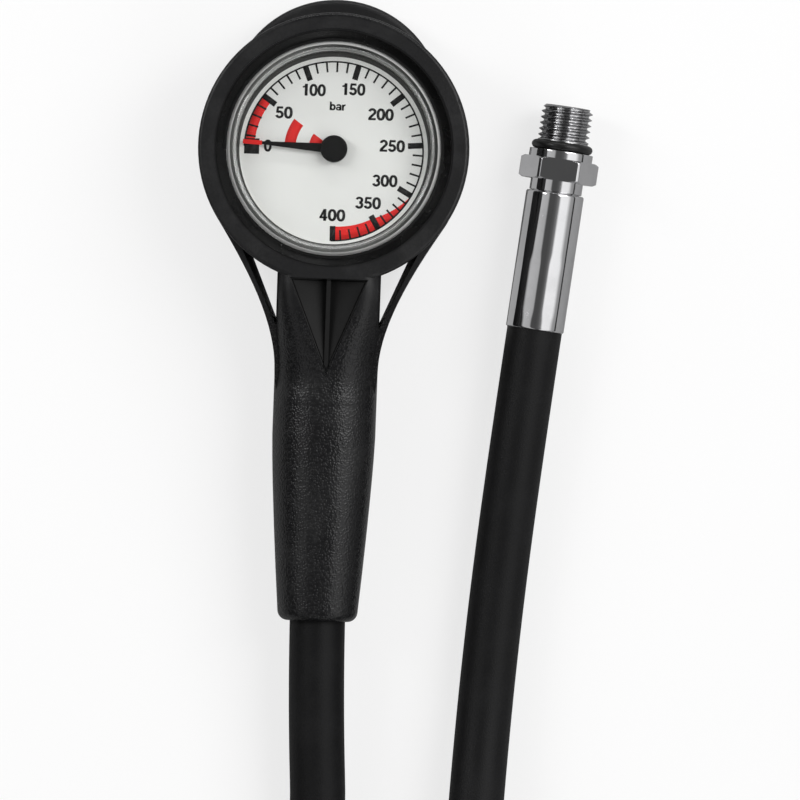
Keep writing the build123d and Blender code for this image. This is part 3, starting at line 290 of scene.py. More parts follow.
def start_material(name, colour, roughness, metallic=0.0):
    """A new finish: its nodes, its Principled shader and the piece's own coordinates."""
    material = finishes[name] = bpy.data.materials.new(name)
    material.use_nodes = True
    tree = material.node_tree
    shader = tree.nodes["Principled BSDF"]
    shader.inputs["Base Color"].default_value = (*colour, 1.0)
    shader.inputs["Roughness"].default_value = roughness
    shader.inputs["Metallic"].default_value = metallic
    where = tree.nodes.new("ShaderNodeTexCoord").outputs["Object"]
    return tree, shader, where


def radius_from_axis(tree, where):
    """Distance from the dial's axis."""
    flat = add_node(tree, "VectorMath", {0: where, 1: (1.0, 1.0, 0.0)}, operation="MULTIPLY")
    reach = add_node(tree, "VectorMath", {0: flat.outputs[0]}, operation="LENGTH")
    return reach.outputs["Value"]


def feed_shader(tree, shader, colours, rough, height=None, depth_mm=0.0):
    """Links colour, roughness and, if given, a relief of this depth."""
    tree.links.new(colours, shader.inputs["Base Color"])
    tree.links.new(rough, shader.inputs["Roughness"])
    if height is not None:
        bump = add_node(tree, "Bump", {"Height": height, "Distance": depth_mm * MM})
        tree.links.new(bump.outputs["Normal"], shader.inputs["Normal"])


def show(tree, shader_output):
    """Lets the material end in this output."""
    tree.links.new(shader_output, tree.nodes["Material Output"].inputs["Surface"])


# %% [markdown]
# ## Three effects that many finishes share
#
# - **moulded grain**: the pebbled skin of a rubber moulding. Cells of a Voronoi pattern, pushed out
#   of line by noise, give rounded pebbles with narrow valleys between them.
# - **handling marks**: soft, uneven patches where a surface has been touched, dusted or worn. They
#   shift colour and roughness a little and keep any finish from looking like plain paint.
# - **tool marks**: the fine rings that turning leaves. They are noise along one direction only.

# %% Build the three node groups
def make_moulded_grain():
    """Height falls from each cell's middle to its edge, and the valleys are where it is lowest."""
    tree, given, result = start_group(
        "moulded grain",
        [("Vector", "Vector", None), ("Pebble size", "Float", 1.0), ("Wander", "Float", 0.35)],
        [("Height", "Float"), ("Valleys", "Float")],
    )
    density = calc(tree, "DIVIDE", 1.0 / MM, given["Pebble size"])
    drift = add_node(
        tree, "TexNoise", {"Vector": given["Vector"], "Scale": density, "Detail": 2.0})
    shift = add_node(
        tree, "VectorMath", {0: drift.outputs["Color"], 1: (0.5,) * 3}, operation="SUBTRACT")
    amount = calc(tree, "DIVIDE", given["Wander"], density)
    push = add_node(
        tree, "VectorMath", {0: shift.outputs[0], "Scale": amount}, operation="SCALE")
    place = add_node(
        tree, "VectorMath", {0: given["Vector"], 1: push.outputs[0]}, operation="ADD")
    cells = add_node(tree, "TexVoronoi", {
        "Vector": place.outputs[0], "Scale": density, "Smoothness": 0.35,
    }, feature="SMOOTH_F1")
    dome = ramp(tree, cells.outputs["Distance"], 0.75, 0.1)
    tree.links.new(dome, result["Height"])
    tree.links.new(ramp(tree, dome, 0.35, 0.0), result["Valleys"])
    return tree


def make_handling_marks():
    """The mask keeps the upper part of a broad noise. Fine is the same noise 40 times smaller."""
    tree, given, result = start_group(
        "handling marks",
        [("Vector", "Vector", None), ("Patch size", "Float", 12.0), ("Amount", "Float", 0.5)],
        [("Mask", "Float"), ("Fine", "Float")],
    )
    density = calc(tree, "DIVIDE", 1.0 / MM, given["Patch size"])
    broad = add_node(tree, "TexNoise", {
        "Vector": given["Vector"], "Scale": density, "Detail": 6.0, "Roughness": 0.6,
    })
    patches = ramp(tree, broad.outputs["Fac"], 0.42, 0.68)
    tree.links.new(calc(tree, "MULTIPLY", patches, given["Amount"]), result["Mask"])
    fine = add_node(tree, "TexNoise", {
        "Vector": given["Vector"], "Scale": calc(tree, "MULTIPLY", density, 40.0),
        "Detail": 3.0,
    })
    tree.links.new(fine.outputs["Fac"], result["Fine"])
    return tree


def make_tool_marks():
    """Noise of one number, the place along the axis, so it is the same all round a ring."""
    tree, given, result = start_group(
        "tool marks",
        [("Along", "Float", 0.0), ("Spacing", "Float", 0.15)],
        [("Height", "Float"), ("Rough", "Float")],
    )
    density = calc(tree, "DIVIDE", 1.0 / MM, given["Spacing"])
    lines = add_node(tree, "TexNoise", {
        "W": calc(tree, "MULTIPLY", given["Along"], density), "Scale": 1.0, "Detail": 2.0,
    }, noise_dimensions="1D")
    tree.links.new(lines.outputs["Fac"], result["Height"])
    tree.links.new(ramp(tree, lines.outputs["Fac"], 0.3, 0.7), result["Rough"])
    return tree


moulded_grain = make_moulded_grain()
handling_marks = make_handling_marks()
tool_marks = make_tool_marks()
print("groups:", ", ".join(g.name for g in bpy.data.node_groups))

# %% [markdown]
# ## Rubber
#
# Boot, hose, seals and blow-out plug are rubber, each with a skin of its own. The boot's handle is
# pebbled for grip and its front ring is nearly smooth, so one mask along the handle turns the grain
# up. Others find the slope round the lens, the ring's polished top edge and the V-shaped hollow
# under it, outlined by a crease. The slope, the hollow and the crease get painted shade: colours
# near black stand in for the shade there. The hose is matte with a very fine grain. Rubber reflects
# little and scatters it, so its roughness stays high and changes with the handling marks.

# %% Masks for the boot's regions
# In mm. A pair says where a mask starts and where it is full.
GRIP_ALONG = (-28.0, -39.0)
SLOPE_REACH, SLOPE_UP = (25.6, 25.3), (20.0, 22.0)
EDGE_REACH, EDGE_ALONG, EDGE_UP = (28.1, 28.5), (14.0, 24.0), (26.2, 26.6)
FRONT_UP = (12.0, 13.0)
HOLLOW_TOP, HOLLOW_POINT = -28.2, -48.5  # Y of its level side and of its lower point
HOLLOW_SIDE = (0.9257, 0.3785)  # across and along, square to a leaning side
HOLLOW_EDGE, CREASE_WIDTH = (-0.05, 0.10), (0.30, 0.10)


def moulding_masks(tree, where):
    """Grip below the ring, slope round the lens, the ring's top edge, the hollow and its outline.

    The hollow is a triangle. The distance inside it is the smaller one of the distances to its
    level top side and to its leaning sides.
    """
    def span(value, pair):
        return ramp(tree, value, pair[0] * MM, pair[1] * MM)

    parts = add_node(tree, "SeparateXYZ", {"Vector": where})
    across, along, up = (parts.outputs[name] for name in "XYZ")
    reach = radius_from_axis(tree, where)
    slope = calc(tree, "MULTIPLY", span(reach, SLOPE_REACH), span(up, SLOPE_UP))
    polished = calc(tree, "MULTIPLY", span(reach, EDGE_REACH), span(along, EDGE_ALONG))
    polished = calc(tree, "MULTIPLY", polished, span(up, EDGE_UP))
    side_x, side_y = HOLLOW_SIDE
    leaning = calc(tree, "MULTIPLY_ADD", along, side_y, -side_y * HOLLOW_POINT * MM)
    leaning = calc(tree, "MULTIPLY_ADD", calc(tree, "ABSOLUTE", across), -side_x, leaning)
    level = calc(tree, "SUBTRACT", HOLLOW_TOP * MM, along)
    inside = calc(tree, "MINIMUM", leaning, level)
    front = span(up, FRONT_UP)
    hollow = calc(tree, "MULTIPLY", span(inside, HOLLOW_EDGE), front)
    from_edge = calc(tree, "ABSOLUTE", calc(tree, "SUBTRACT", inside, HOLLOW_EDGE[1] * MM))
    crease = calc(tree, "MULTIPLY", span(from_edge, CREASE_WIDTH), front)
    return span(along, GRIP_ALONG), slope, polished, hollow, crease


# %% Rubber finishes
FINE_PEBBLE, FINE_SHARE = 0.28, 0.12  # size in mm, and its height as a share of the grip's
CREASE_DEPTH = 5.0  # in pebble heights
# painted shade: near-black colours for the hollow, and darker still for the lens slope and the
# crease
HOLLOW_PAINTED_SHADE, SLOPE_AND_CREASE_PAINTED_SHADE = (0.0045,) * 3, (0.0025,) * 3


def make_rubber(name, colour, dusty, roughness, specular, pebble, depth, moulding=False):
    """Rubber skin. A moulding has a pebbled grip, a nearly smooth ring and painted shade on slope
    and hollow.
    """
    tree, shader, where = start_material(name, colour, roughness)
    shader.inputs["Specular IOR Level"].default_value = specular
    grain = place_group(tree, moulded_grain, {"Vector": where, "Pebble size": pebble})
    marks = place_group(tree, handling_marks, {"Vector": where, "Amount": 0.6})
    height = grain["Height"]
    rough = calc(tree, "MULTIPLY_ADD", marks["Mask"], 0.12, roughness - 0.05)
    tint = calc(tree, "MULTIPLY_ADD", grain["Valleys"], -0.3, marks["Mask"])
    colours = blend_colours(tree, ramp(tree, tint, -0.3, 0.9), colour, dusty)
    if moulding:
        grip, slope, polished, hollow, crease = moulding_masks(tree, where)
        fine = place_group(tree, moulded_grain, {"Vector": where, "Pebble size": FINE_PEBBLE})
        pebbled = calc(tree, "MULTIPLY", grip, calc(tree, "SUBTRACT", 1.0, hollow))
        skin = calc(tree, "MULTIPLY", fine["Height"], FINE_SHARE)
        height = calc(tree, "MULTIPLY_ADD", height, pebbled, skin)
        height = calc(tree, "MULTIPLY_ADD", crease, -CREASE_DEPTH, height)
        # Painted shade: the hollow is coloured near black, then the lens slope and the crease
        # darker still.
        colours = blend_colours(tree, hollow, colours, HOLLOW_PAINTED_SHADE)
        black = calc(tree, "MAXIMUM", slope, crease)
        colours = blend_colours(tree, black, colours, SLOPE_AND_CREASE_PAINTED_SHADE)
        smooth = calc(tree, "MAXIMUM", calc(tree, "MAXIMUM", slope, grip), polished)
        rough = calc(tree, "MULTIPLY_ADD", smooth, -0.15, rough)
        rough = calc(tree, "MULTIPLY_ADD", hollow, 0.32, rough)
    feed_shader(tree, shader, colours, rough, height, depth)


RUBBERS = {  # colour, dusty colour, roughness, reflection, size and depth of the pebbles in mm
    "boot_rubber": ((0.0075, 0.0075, 0.008), (0.015, 0.015, 0.0155), 0.44, 0.30, 0.50, 0.055, True),
    "hose_rubber": ((0.0065, 0.0065, 0.0068), (0.010, 0.010, 0.0105), 0.50, 0.13, 0.3, 0.02),
    "seal_rubber": ((0.007, 0.007, 0.007), (0.012, 0.012, 0.012), 0.35, 0.30, 0.3, 0.006),
    "seal_silicone": ((0.55, 0.55, 0.53), (0.62, 0.62, 0.60), 0.4, 0.4, 0.3, 0.004),
    "plug_rubber": ((0.05, 0.05, 0.055), (0.08, 0.08, 0.08), 0.5, 0.4, 0.4, 0.01),
}
for name, recipe in RUBBERS.items():
    make_rubber(name, *recipe)
print("rubber:", ", ".join(RUBBERS))

# %% [markdown]
# ## Metal
#
# The fittings are turned brass under bright chrome. Chrome has hardly any colour of its own, so it
# shows the studio: what matters is a low, slightly uneven roughness. Brass, bronze and steel inside
# the case use the same recipe with other colours and coarser tool marks. The marks run round the
# axis a piece was turned on, so each metal is told which direction that is.

# %% Metal finishes
TANK_LEAN = radians(6.5)
TANK_AXIS = (sin(TANK_LEAN), cos(TANK_LEAN), 0.0)
TOUCHED_SHADE, WORN_SHADE = 0.86, 0.66  # how dark the metal gets there, as a share of its colour
TOUCHED_ROUGH, WORN_ROUGH = 0.08, 0.12
THREAD_WORN_FROM = 8.8  # in mm along the fitting's axis, measured from the dial


def make_metal(name, colour, roughness, spacing, depth, axis, marks_rough=0.06, worn_from=None):
    """Turned metal. From a place along the axis on it can be worn duller, as a cut thread is."""
    tree, shader, where = start_material(name, colour, roughness, 1.0)
    place = add_node(tree, "VectorMath", {0: where, 1: axis}, operation="DOT_PRODUCT")
    along = place.outputs["Value"]
    rings = place_group(tree, tool_marks, {"Along": along, "Spacing": spacing})
    marks = place_group(tree, handling_marks, {"Vector": where, "Patch size": 6.0})
    rough = calc(tree, "MULTIPLY_ADD", rings["Rough"], marks_rough, roughness)
    rough = calc(tree, "MULTIPLY_ADD", marks["Mask"], TOUCHED_ROUGH, rough)
    touched, rubbed = (tuple(c * share for c in colour) for share in (TOUCHED_SHADE, WORN_SHADE))
    colours = blend_colours(tree, marks["Mask"], colour, touched)
    if worn_from is not None:
        worn = ramp(tree, along, worn_from * MM, (worn_from + 0.3) * MM)
        rough = calc(tree, "MULTIPLY_ADD", worn, WORN_ROUGH, rough)
        colours = blend_colours(tree, worn, colours, rubbed)
    feed_shader(tree, shader, colours, rough, rings["Height"], depth)


UP, ALONG_HANDLE, OBLIQUE = (0.0, 0.0, 1.0), (0.0, 1.0, 0.0), (0.7, 0.7, 0.0)
METALS = {  # colour, roughness, spacing and depth of the tool marks in mm, the turning axis
    "tank_chrome": ((0.60, 0.60, 0.61), 0.04, 0.4, 0.0006, TANK_AXIS, 0.02, THREAD_WORN_FROM),
    "handle_chrome": ((0.78, 0.78, 0.79), 0.07, 0.3, 0.002, ALONG_HANDLE),
    "case_chrome": ((0.66, 0.66, 0.67), 0.16, 0.25, 0.003, UP),
    "ring_steel": ((0.80, 0.80, 0.78), 0.34, 0.2, 0.003, UP),
    "screw_steel": ((0.55, 0.55, 0.56), 0.25, 0.15, 0.004, UP),
    "shaft_steel": ((0.62, 0.62, 0.63), 0.14, 0.1, 0.002, UP),
    "tube_bronze": ((0.60, 0.36, 0.20), 0.24, 0.5, 0.002, UP),
    "movement_brass": ((0.70, 0.52, 0.24), 0.26, 0.12, 0.003, OBLIQUE),
    "spring_bronze": ((0.58, 0.40, 0.22), 0.22, 0.2, 0.001, UP),
}
for name, recipe in METALS.items():
    make_metal(name, *recipe)
print("metal:", ", ".join(METALS))

# %% [markdown]
# ## Paint, print and the clear lens
#
# The dial is painted a slightly warm white, and its scale is printed in black and red. The pointer
# is one stamped piece with two colours: black up to a certain distance from the shaft and red
# beyond it, so a mask by distance paints it and turns with it. The lens is clear acrylic. Real
# light passes through it to the dial, and a path tracer is slow at that, so shadow rays see the
# lens as plain transparent. Its skirt, below the window, is a little frosted by the tool.

# %% Paint, print and lens finishes
def make_paint(name, colour, worn, roughness, depth):
    """Matt paint or ink, worn in patches, with a fine noise in its roughness and relief."""
    tree, shader, where = start_material(name, colour, roughness)
    shader.inputs["Specular IOR Level"].default_value = 0.2
    marks = place_group(tree, handling_marks, {"Vector": where, "Patch size": 9.0})
    colours = blend_colours(tree, marks["Mask"], colour, worn)
    rough = calc(tree, "MULTIPLY_ADD", marks["Fine"], 0.12, roughness - 0.06)
    feed_shader(tree, shader, colours, rough, marks["Fine"], depth)


def make_pointer_paint(tip_from):
    """Black up to a distance from the shaft in mm, red beyond it."""
    tree, shader, where = start_material("pointer_paint", (0.01, 0.01, 0.01), 0.4)
    shader.inputs["Specular IOR Level"].default_value = 0.1
    tip = calc(tree, "GREATER_THAN", radius_from_axis(tree, where), tip_from * MM)
    marks = place_group(
        tree, handling_marks, {"Vector": where, "Patch size": 5.0, "Amount": 0.4})
    dark = blend_colours(tree, marks["Mask"], (0.004, 0.004, 0.004), (0.008, 0.008, 0.008))
    colours = blend_colours(tree, tip, dark, (0.74, 0.022, 0.02))
    feed_shader(tree, shader, colours, calc(tree, "MULTIPLY_ADD", marks["Fine"], 0.15, 0.35))


def make_clear_lens(frosted_below):
    """Clear acrylic, frosted below a height in mm. Shadow and diffuse rays pass straight on."""
    tree, shader, where = start_material("lens_clear", (0.985, 0.99, 0.988), 0.0)
    shader.inputs["Transmission Weight"].default_value = 1.0
    shader.inputs["IOR"].default_value = 1.49
    marks = place_group(
        tree, handling_marks, {"Vector": where, "Patch size": 10.0, "Amount": 0.5})
    height = add_node(tree, "SeparateXYZ", {"Vector": where}).outputs["Z"]
    frosted = ramp(tree, height, frosted_below * MM, (frosted_below - 0.2) * MM, 0.0, 0.06)
    rough = calc(tree, "MULTIPLY_ADD", marks["Mask"], 0.03, frosted)
    tree.links.new(rough, shader.inputs["Roughness"])
    clear = add_node(tree, "BsdfTransparent", {"Color": (0.97, 0.975, 0.975, 1.0)})
    ray = add_node(tree, "LightPath")
    through = calc(tree, "MAXIMUM", ray.outputs["Is Shadow Ray"], ray.outputs["Is Diffuse Ray"])
    both = add_node(tree, "MixShader", {
        0: through, 1: shader.outputs["BSDF"], 2: clear.outputs["BSDF"],
    })
    show(tree, both.outputs[0])


PAINTS = {  # colour, worn colour, roughness and relief in mm
    "dial_paint": ((0.86, 0.86, 0.835), (0.82, 0.82, 0.79), 0.5, 0.002),
    "print_black": ((0.006, 0.006, 0.006), (0.012, 0.012, 0.012), 0.5, 0.001),
    "print_red": ((0.78, 0.02, 0.018), (0.74, 0.018, 0.016), 0.5, 0.001),
    # painted shadow: dark grey standing in for the shade where the ring meets the dial
    "painted_shadow_grey": ((0.045, 0.045, 0.042), (0.06, 0.06, 0.056), 0.5, 0.001),
    # painted reflection: a pale matt skin on the lens bevel stands in for the bright studio it
    # reflects
    "lens_painted_reflection": ((0.60, 0.60, 0.59), (0.50, 0.50, 0.49), 0.4, 0.001),
}
POINTER_TIP_FROM, FROSTED_BELOW = 15.4, 24.0
for name, recipe in PAINTS.items():
    make_paint(name, *recipe)
make_pointer_paint(POINTER_TIP_FROM)
make_clear_lens(FROSTED_BELOW)
print("all finishes:", len(finishes))

# %% Give every solid part its finish
finish_of = {
    "boot_rubber": ["boot"],
    "seal_rubber": ["stem_oring", "spool_oring_gauge", "spool_oring_hose", "thread_oring"],
    "seal_silicone": ["lens_oring"],
    "plug_rubber": ["relief_plug"],
    "lens_clear": ["lens"],
    "dial_paint": ["dial"],
    "pointer_paint": ["pointer"],
    "case_chrome": ["case"],
    "ring_steel": ["dial_ring"],
    "tank_chrome": ["tank_ferrule", "tank_fitting"],
    "handle_chrome": ["gauge_stem", "swivel_nut", "hose_stem", "gauge_ferrule", "air_spool"],
    "screw_steel": [
        "tip_screw", "link_pin", "plate_screws", "movement_screws", "socket_screws", "spring_stud",
    ],
    "shaft_steel": ["sector_arbor", "pinion_arbor"],
    "tube_bronze": ["bourdon_tube", "tube_tip"],
    "movement_brass": ["link", "sector_gear", "movement_base", "movement_top", "movement_pillars"],
    "spring_bronze": ["hairspring"],
    "hose_rubber": ["hose_lead", "hose_coil", "hose_tail"],
}


def paint(piece, finish):
    """Takes away a piece's materials and gives it this finish."""
    piece.data.materials.clear()
    piece.data.materials.append(finishes[finish])


for finish, names in finish_of.items():
    for name in names:
        paint(nodes[name], finish)
paint(hose, "hose_rubber")
left = set(nodes) - {name for names in finish_of.values() for name in names}
print("parts without a finish:", sorted(left) or "none")

# %% [markdown]
# ## The printed dial
#
# The scale goes clockwise from zero at nine o'clock to 400 at six o'clock, and it isn't quite even:
# the maker measured each gauge's travel. A table of angles and a straight line between its entries
# gives the angle of any pressure. The print sits half a millimetre low on the disc, so the scale's
# line is a circle off the shaft, and every mark starts from that line. A mark is a patch between
# two radii over a row of angles, so one formula draws ticks, bands and fields alike.

# %% Scale geometry
DIAL_FACE = 18.8
PRINT_LIFT = 0.03
SCALE_BAR = np.arange(0, 401, 50)
SCALE_DEGREES = np.array([0, 35.2, 68.9, 104.7, 140.5, 175.8, 209.3, 238.9, 270])
LINE_R, PRINT_CENTRE = 19.08, np.array([-0.05, -0.5])


def scale_angle(bar):
    """Angle of a pressure, clockwise from nine o'clock."""
    return np.interp(bar, SCALE_BAR, SCALE_DEGREES)


def dial_point(radius, degrees):
    """A point on the dial at a radius, and an angle clockwise from nine o'clock."""
    turn = np.radians(degrees)
    return np.stack([-radius * np.cos(turn), radius * np.sin(turn)], -1)


def print_radius(radius, degrees):
    """Distance from the shaft to a circle round the print's own centre, at these angles."""
    shift = dial_point(1.0, degrees) @ PRINT_CENTRE
    return shift + np.sqrt(radius ** 2 - PRINT_CENTRE @ PRINT_CENTRE + shift ** 2)


def patch_points(inner, outer, degrees, lift):
    """A grid of 2 by n points between two radii, numbers or arrays, at n angles."""
    edges = np.stack([dial_point(inner, degrees), dial_point(outer, degrees)])
    height = np.full(edges.shape[:2] + (1,), DIAL_FACE + lift)
    return np.concatenate([edges, height], -1).reshape(-1, 3)


def tick_points(degrees, length, width, beyond=0.0):
    """Four corners of a straight mark of constant width, inwards along a radius from the line."""
    along = dial_point(1.0, degrees)
    across = np.array([along[1], -along[0]]) * width / 2
    end = print_radius(LINE_R, degrees) + beyond
    corners = [r * along + side * across for r in (end - length, end) for side in (1, -1)]
    return np.column_stack([corners, np.full(4, DIAL_FACE + PRINT_LIFT)])


def printed(name, patches, finish, closed=False):
    """Joins patches of 2 by n points into one printed layer, with every face looking up."""
    points, faces, count = [], [], 0
    for patch in patches:
        quads = np.array(grid_faces(2, len(patch) // 2, wrap_columns=closed))
        one, two, three = patch[quads[0, :3]]
        if np.cross(two - one, three - two)[2] < 0:
            quads = quads[:, ::-1]
        faces += (quads + count).tolist()
        points.append(patch)
        count += len(patch)
    layer = to_mesh(name, np.concatenate(points), faces, "gauge_head")
    thick = layer.modifiers.new("ink", "SOLIDIFY")
    thick.thickness, thick.offset = 0.02 * MM, -1.0
    paint(layer, finish)


# %% Print the scale
MINOR_TICK, MAJOR_TICK = (2.2, 0.40), (3.2, 1.22)  # length and width
ZERO_TICK, END_TICK, END_DEGREES = (3.2, 3.3), (3.2, 1.2, 0.05), 268.9
LINE_WIDTH, FIELD_GAP = 0.34, 0.1
LOW_DEPTH, HIGH_FROM, HIGH_DEPTHS = 2.1, 303, [0.15, 2.5, 3.1]  # depths at 303, 350 and 400 bar
INNER_MARKS = [(8.2, 10.6), (2.0, 5.4)]
# radii of the painted shadow round the dial's edge
SHADOW_RADII = (20.15, 20.4, 20.9)  # of its inner side, the most that may be, and of its outer side

minor = [b for b in range(10, 400, 10) if b % 50]
major = list(range(50, 400, 50))
black = [tick_points(scale_angle(b), *MINOR_TICK) for b in minor]
black += [tick_points(scale_angle(b), *MAJOR_TICK) for b in major]
black += [tick_points(0.0, *ZERO_TICK), tick_points(END_DEGREES, *END_TICK)]
whole = np.linspace(scale_angle(0), scale_angle(400), 240)
line = print_radius(LINE_R, whole)
black.append(patch_points(line - LINE_WIDTH / 2, line + LINE_WIDTH / 2, whole, PRINT_LIFT))
printed("dial_scale", black, "print_black")

low = np.linspace(scale_angle(0), scale_angle(50), 24)
high = np.linspace(scale_angle(HIGH_FROM), scale_angle(400), 60)
high_depth = np.interp(high, scale_angle([HIGH_FROM, 350, 400]), HIGH_DEPTHS)
red = [
    patch_points(print_radius(LINE_R, turn) - depth, print_radius(LINE_R, turn) - FIELD_GAP,
                 turn, PRINT_LIFT / 2)
    for turn, depth in ((low, LOW_DEPTH), (high, high_depth))
]
red += [patch_points(inner, outer, low, PRINT_LIFT / 2) for inner, outer in INNER_MARKS]
printed("dial_fields", red, "print_red")

# Painted shadow: a dark grey band under the ring's inner edge, wider at the top, stands in for the
# ring's shade on the dial.
around = np.linspace(0, 360, 240, endpoint=False)
shadow_start = np.minimum(print_radius(SHADOW_RADII[0], around), SHADOW_RADII[1])
rim = patch_points(shadow_start, SHADOW_RADII[2], around, PRINT_LIFT / 2)
printed("dial_painted_shadow", [rim], "painted_shadow_grey", closed=True)
print("marks:", len(minor) + len(major) + 2)

# %% [markdown]
# ## The numerals
#
# The dial needs six digits and the word bar. Each is drawn like a sign painter would, with a few
# strokes of a flat brush: a stroke is a line of points, given a width to both sides. Arcs and ovals
# give the round ones. Digits stand in a cell one high and 0.62 wide, and a number is then fitted to
# the width and height it has on the dial, so the place of a number is its middle.

# %% Strokes for digits and letters
def bow(middle, reach, start, end, steps=24, square=1.0):
    """Points on an oval arc between two angles. A power below one makes the oval squarer."""
    turn = np.radians(np.linspace(start, end, steps))
    wave = np.stack([np.cos(turn), np.sin(turn)], -1)
    return np.array(middle) + np.array(reach) * np.sign(wave) * np.abs(wave) ** square


def brush(line, width):
    """A flat strip of 2 by n points, half the width to each side of a line."""
    line = np.array(line, float)
    along = np.gradient(line, axis=0)
    along /= np.linalg.norm(along, axis=1, keepdims=True)
    across = np.stack([-along[:, 1], along[:, 0]], -1) * width / 2
    return np.concatenate([line + across, line - across])


THICK, THIN, BOLD = 0.20, 0.165, 1.12
STROKES = {
    "0": [(bow((0.31, 0.5), (0.215, 0.415), 90, 450, 60, 0.86), 0.185)],
    "1": [([(0.38, 0.0), (0.38, 1.0)], THICK),
          ([(0.10, 0.735), (0.22, 0.745), (0.32, 0.83), (0.37, 0.97)], 0.13)],
    "2": [(np.concatenate([bow((0.31, 0.70), (0.205, 0.215), 172, -38),
                           [(0.14, 0.20), (0.125, 0.08)]]), 0.18),
          ([(0.02, 0.085), (0.58, 0.085)], THIN)],
    "3": [(bow((0.30, 0.72), (0.195, 0.195), 165, -90), 0.17),
          (bow((0.30, 0.295), (0.215, 0.21), 90, -168), 0.18)],
    "4": [([(0.41, 0.0), (0.41, 1.0)], 0.19), ([(0.03, 0.285), (0.60, 0.285)], 0.15),
          ([(0.08, 0.25), (0.38, 0.95)], 0.15)],
    "5": [([(0.12, 0.915), (0.56, 0.915)], THIN), ([(0.175, 0.93), (0.13, 0.46)], 0.15),
          (bow((0.30, 0.325), (0.215, 0.235), 140, -165), 0.18)],
    "b": [([(0.08, 0.0), (0.08, 1.0)], 0.17),
          (bow((0.28, 0.35), (0.20, 0.28), 90, 450, 40), 0.17)],
    "a": [(np.concatenate([bow((0.27, 0.48), (0.18, 0.17), 165, 0),
                           [(0.45, 0.2), (0.46, 0.0)]]), 0.16),
          (bow((0.24, 0.21), (0.17, 0.15), 90, 450, 40), 0.14)],
    "r": [([(0.08, 0.0), (0.08, 0.70)], 0.17),
          (bow((0.30, 0.35), (0.22, 0.29), 180, 80, 16), 0.16)],
}
ADVANCE, DIGIT_ADVANCE = {"b": 0.60, "a": 0.60, "r": 0.45}, 0.64


def written(text, middle, width, height):
    """All strokes of a text, fitted to a width and height round its middle, lying on the dial."""
    strips, start = [], 0.0
    for sign in text:
        strips += [brush(line, BOLD * thick) + (start, 0.0) for line, thick in STROKES[sign]]
        start += ADVANCE.get(sign, DIGIT_ADVANCE)
    every = np.concatenate(strips)
    low, high = every.min(0), every.max(0)
    scale = (width, height) / (high - low)
    place = [(strip - (low + high) / 2) * scale + middle for strip in strips]
    return [np.column_stack([p, np.full(len(p), DIAL_FACE + PRINT_LIFT)]) for p in place]


# %% Print the numerals
CAP_HEIGHT, WORD_PLACE, WORD_SIZE = 2.6, (0.49, 9.12), (3.4, 1.85)
NUMERALS = {
    "0": ((-14.1, 0.2), 1.65), "50": ((-10.9, 7.38), 3.7), "100": ((-4.65, 12.40), 4.95),
    "150": ((3.78, 12.83), 4.95), "200": ((9.77, 7.69), 5.45), "250": ((12.42, 1.06), 5.4),
    "300": ((11.1, -6.41), 5.4), "350": ((7.68, -11.25), 5.5), "400": ((0.16, -14.12), 5.55),
}
writing = [strip for text, (middle, width) in NUMERALS.items()
           for strip in written(text, middle, width, CAP_HEIGHT)]
writing += written("bar", WORD_PLACE, *WORD_SIZE)
printed("dial_numerals", writing, "print_black")
print("numeral strokes:", len(writing))

# %% [markdown]
# ## The lens
#
# The lens is one thick acrylic cap: a deep skirt that screws into the case, a seal groove, a
# bevelled rim and a shallow dome. Clear plastic shows every facet of a coarse mesh, twice, so it is
# turned again here from its profile, with a fine dome and small radii on its edges. The outer half
# of the bevel gets a pale matt skin as thin as paper: a painted reflection of the bright studio.

# %% Turn the lens
LENS_FOOT, LENS_EDGE, LENS_TOP = 20.0, 24.9, 27.0
LENS_R, LENS_SKIRT_R, LENS_BEVEL, LENS_WINDOW = 23.0, 20.9, 1.3, 3.0
GROOVE_R, GROOVE = 21.9, (21.35, 22.65)
CORNER_RADII = [0.08] + [0.25] * 6 + [0.9, 0.4]  # from the window's edge out to the bevel's top


def lens_profile():
    """The flat inside, skirt and groove with rounded edges, then the dome as part of a circle."""
    bevel_r, bevel_z = LENS_R - LENS_BEVEL, LENS_EDGE + LENS_BEVEL
    low, rise = LENS_TOP - LENS_WINDOW, LENS_TOP - bevel_z
    sphere = (bevel_r ** 2 + rise ** 2) / (2 * rise)
    across = np.linspace(bevel_r - 1.2, 0.02, 24)
    dome = np.column_stack([across, LENS_TOP - sphere + np.sqrt(sphere ** 2 - across ** 2)])
    inside = np.column_stack([np.linspace(0.02, LENS_SKIRT_R - 1, 12), np.full(12, low)])
    corners = [
        (LENS_SKIRT_R, low), (LENS_SKIRT_R, LENS_FOOT), (LENS_R, LENS_FOOT), (LENS_R, GROOVE[0]),
        (GROOVE_R, GROOVE[0]), (GROOVE_R, GROOVE[1]), (LENS_R, GROOVE[1]), (LENS_R, LENS_EDGE),
        (bevel_r, bevel_z),
    ]
    side = rounded([inside[-1], *corners, dome[0]], CORNER_RADII)
    return np.concatenate([inside, side, dome])


def painted_reflection_edge_profile(thickness=0.03):
    """Painted reflection: the bow from skirt to bevel, twice: on the lens and a hair outside it."""
    reach = CORNER_SHARE * sqrt(2) * LENS_BEVEL
    t = np.linspace(0.12, 1, 10)[:, None]
    start, corner = np.array([LENS_R, LENS_EDGE - reach]), np.array([LENS_R, LENS_EDGE])
    end = corner + reach * np.array([-1, 1]) / sqrt(2)
    bow_line = bowed(start, corner, end, t)
    return np.concatenate([bow_line + 0.005, bow_line[::-1] + thickness])


lens = ring_piece("lens_cap", lens_profile(), "gauge_head", "lens_clear", 256)
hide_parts("lens")
paint(lens, "lens_clear")
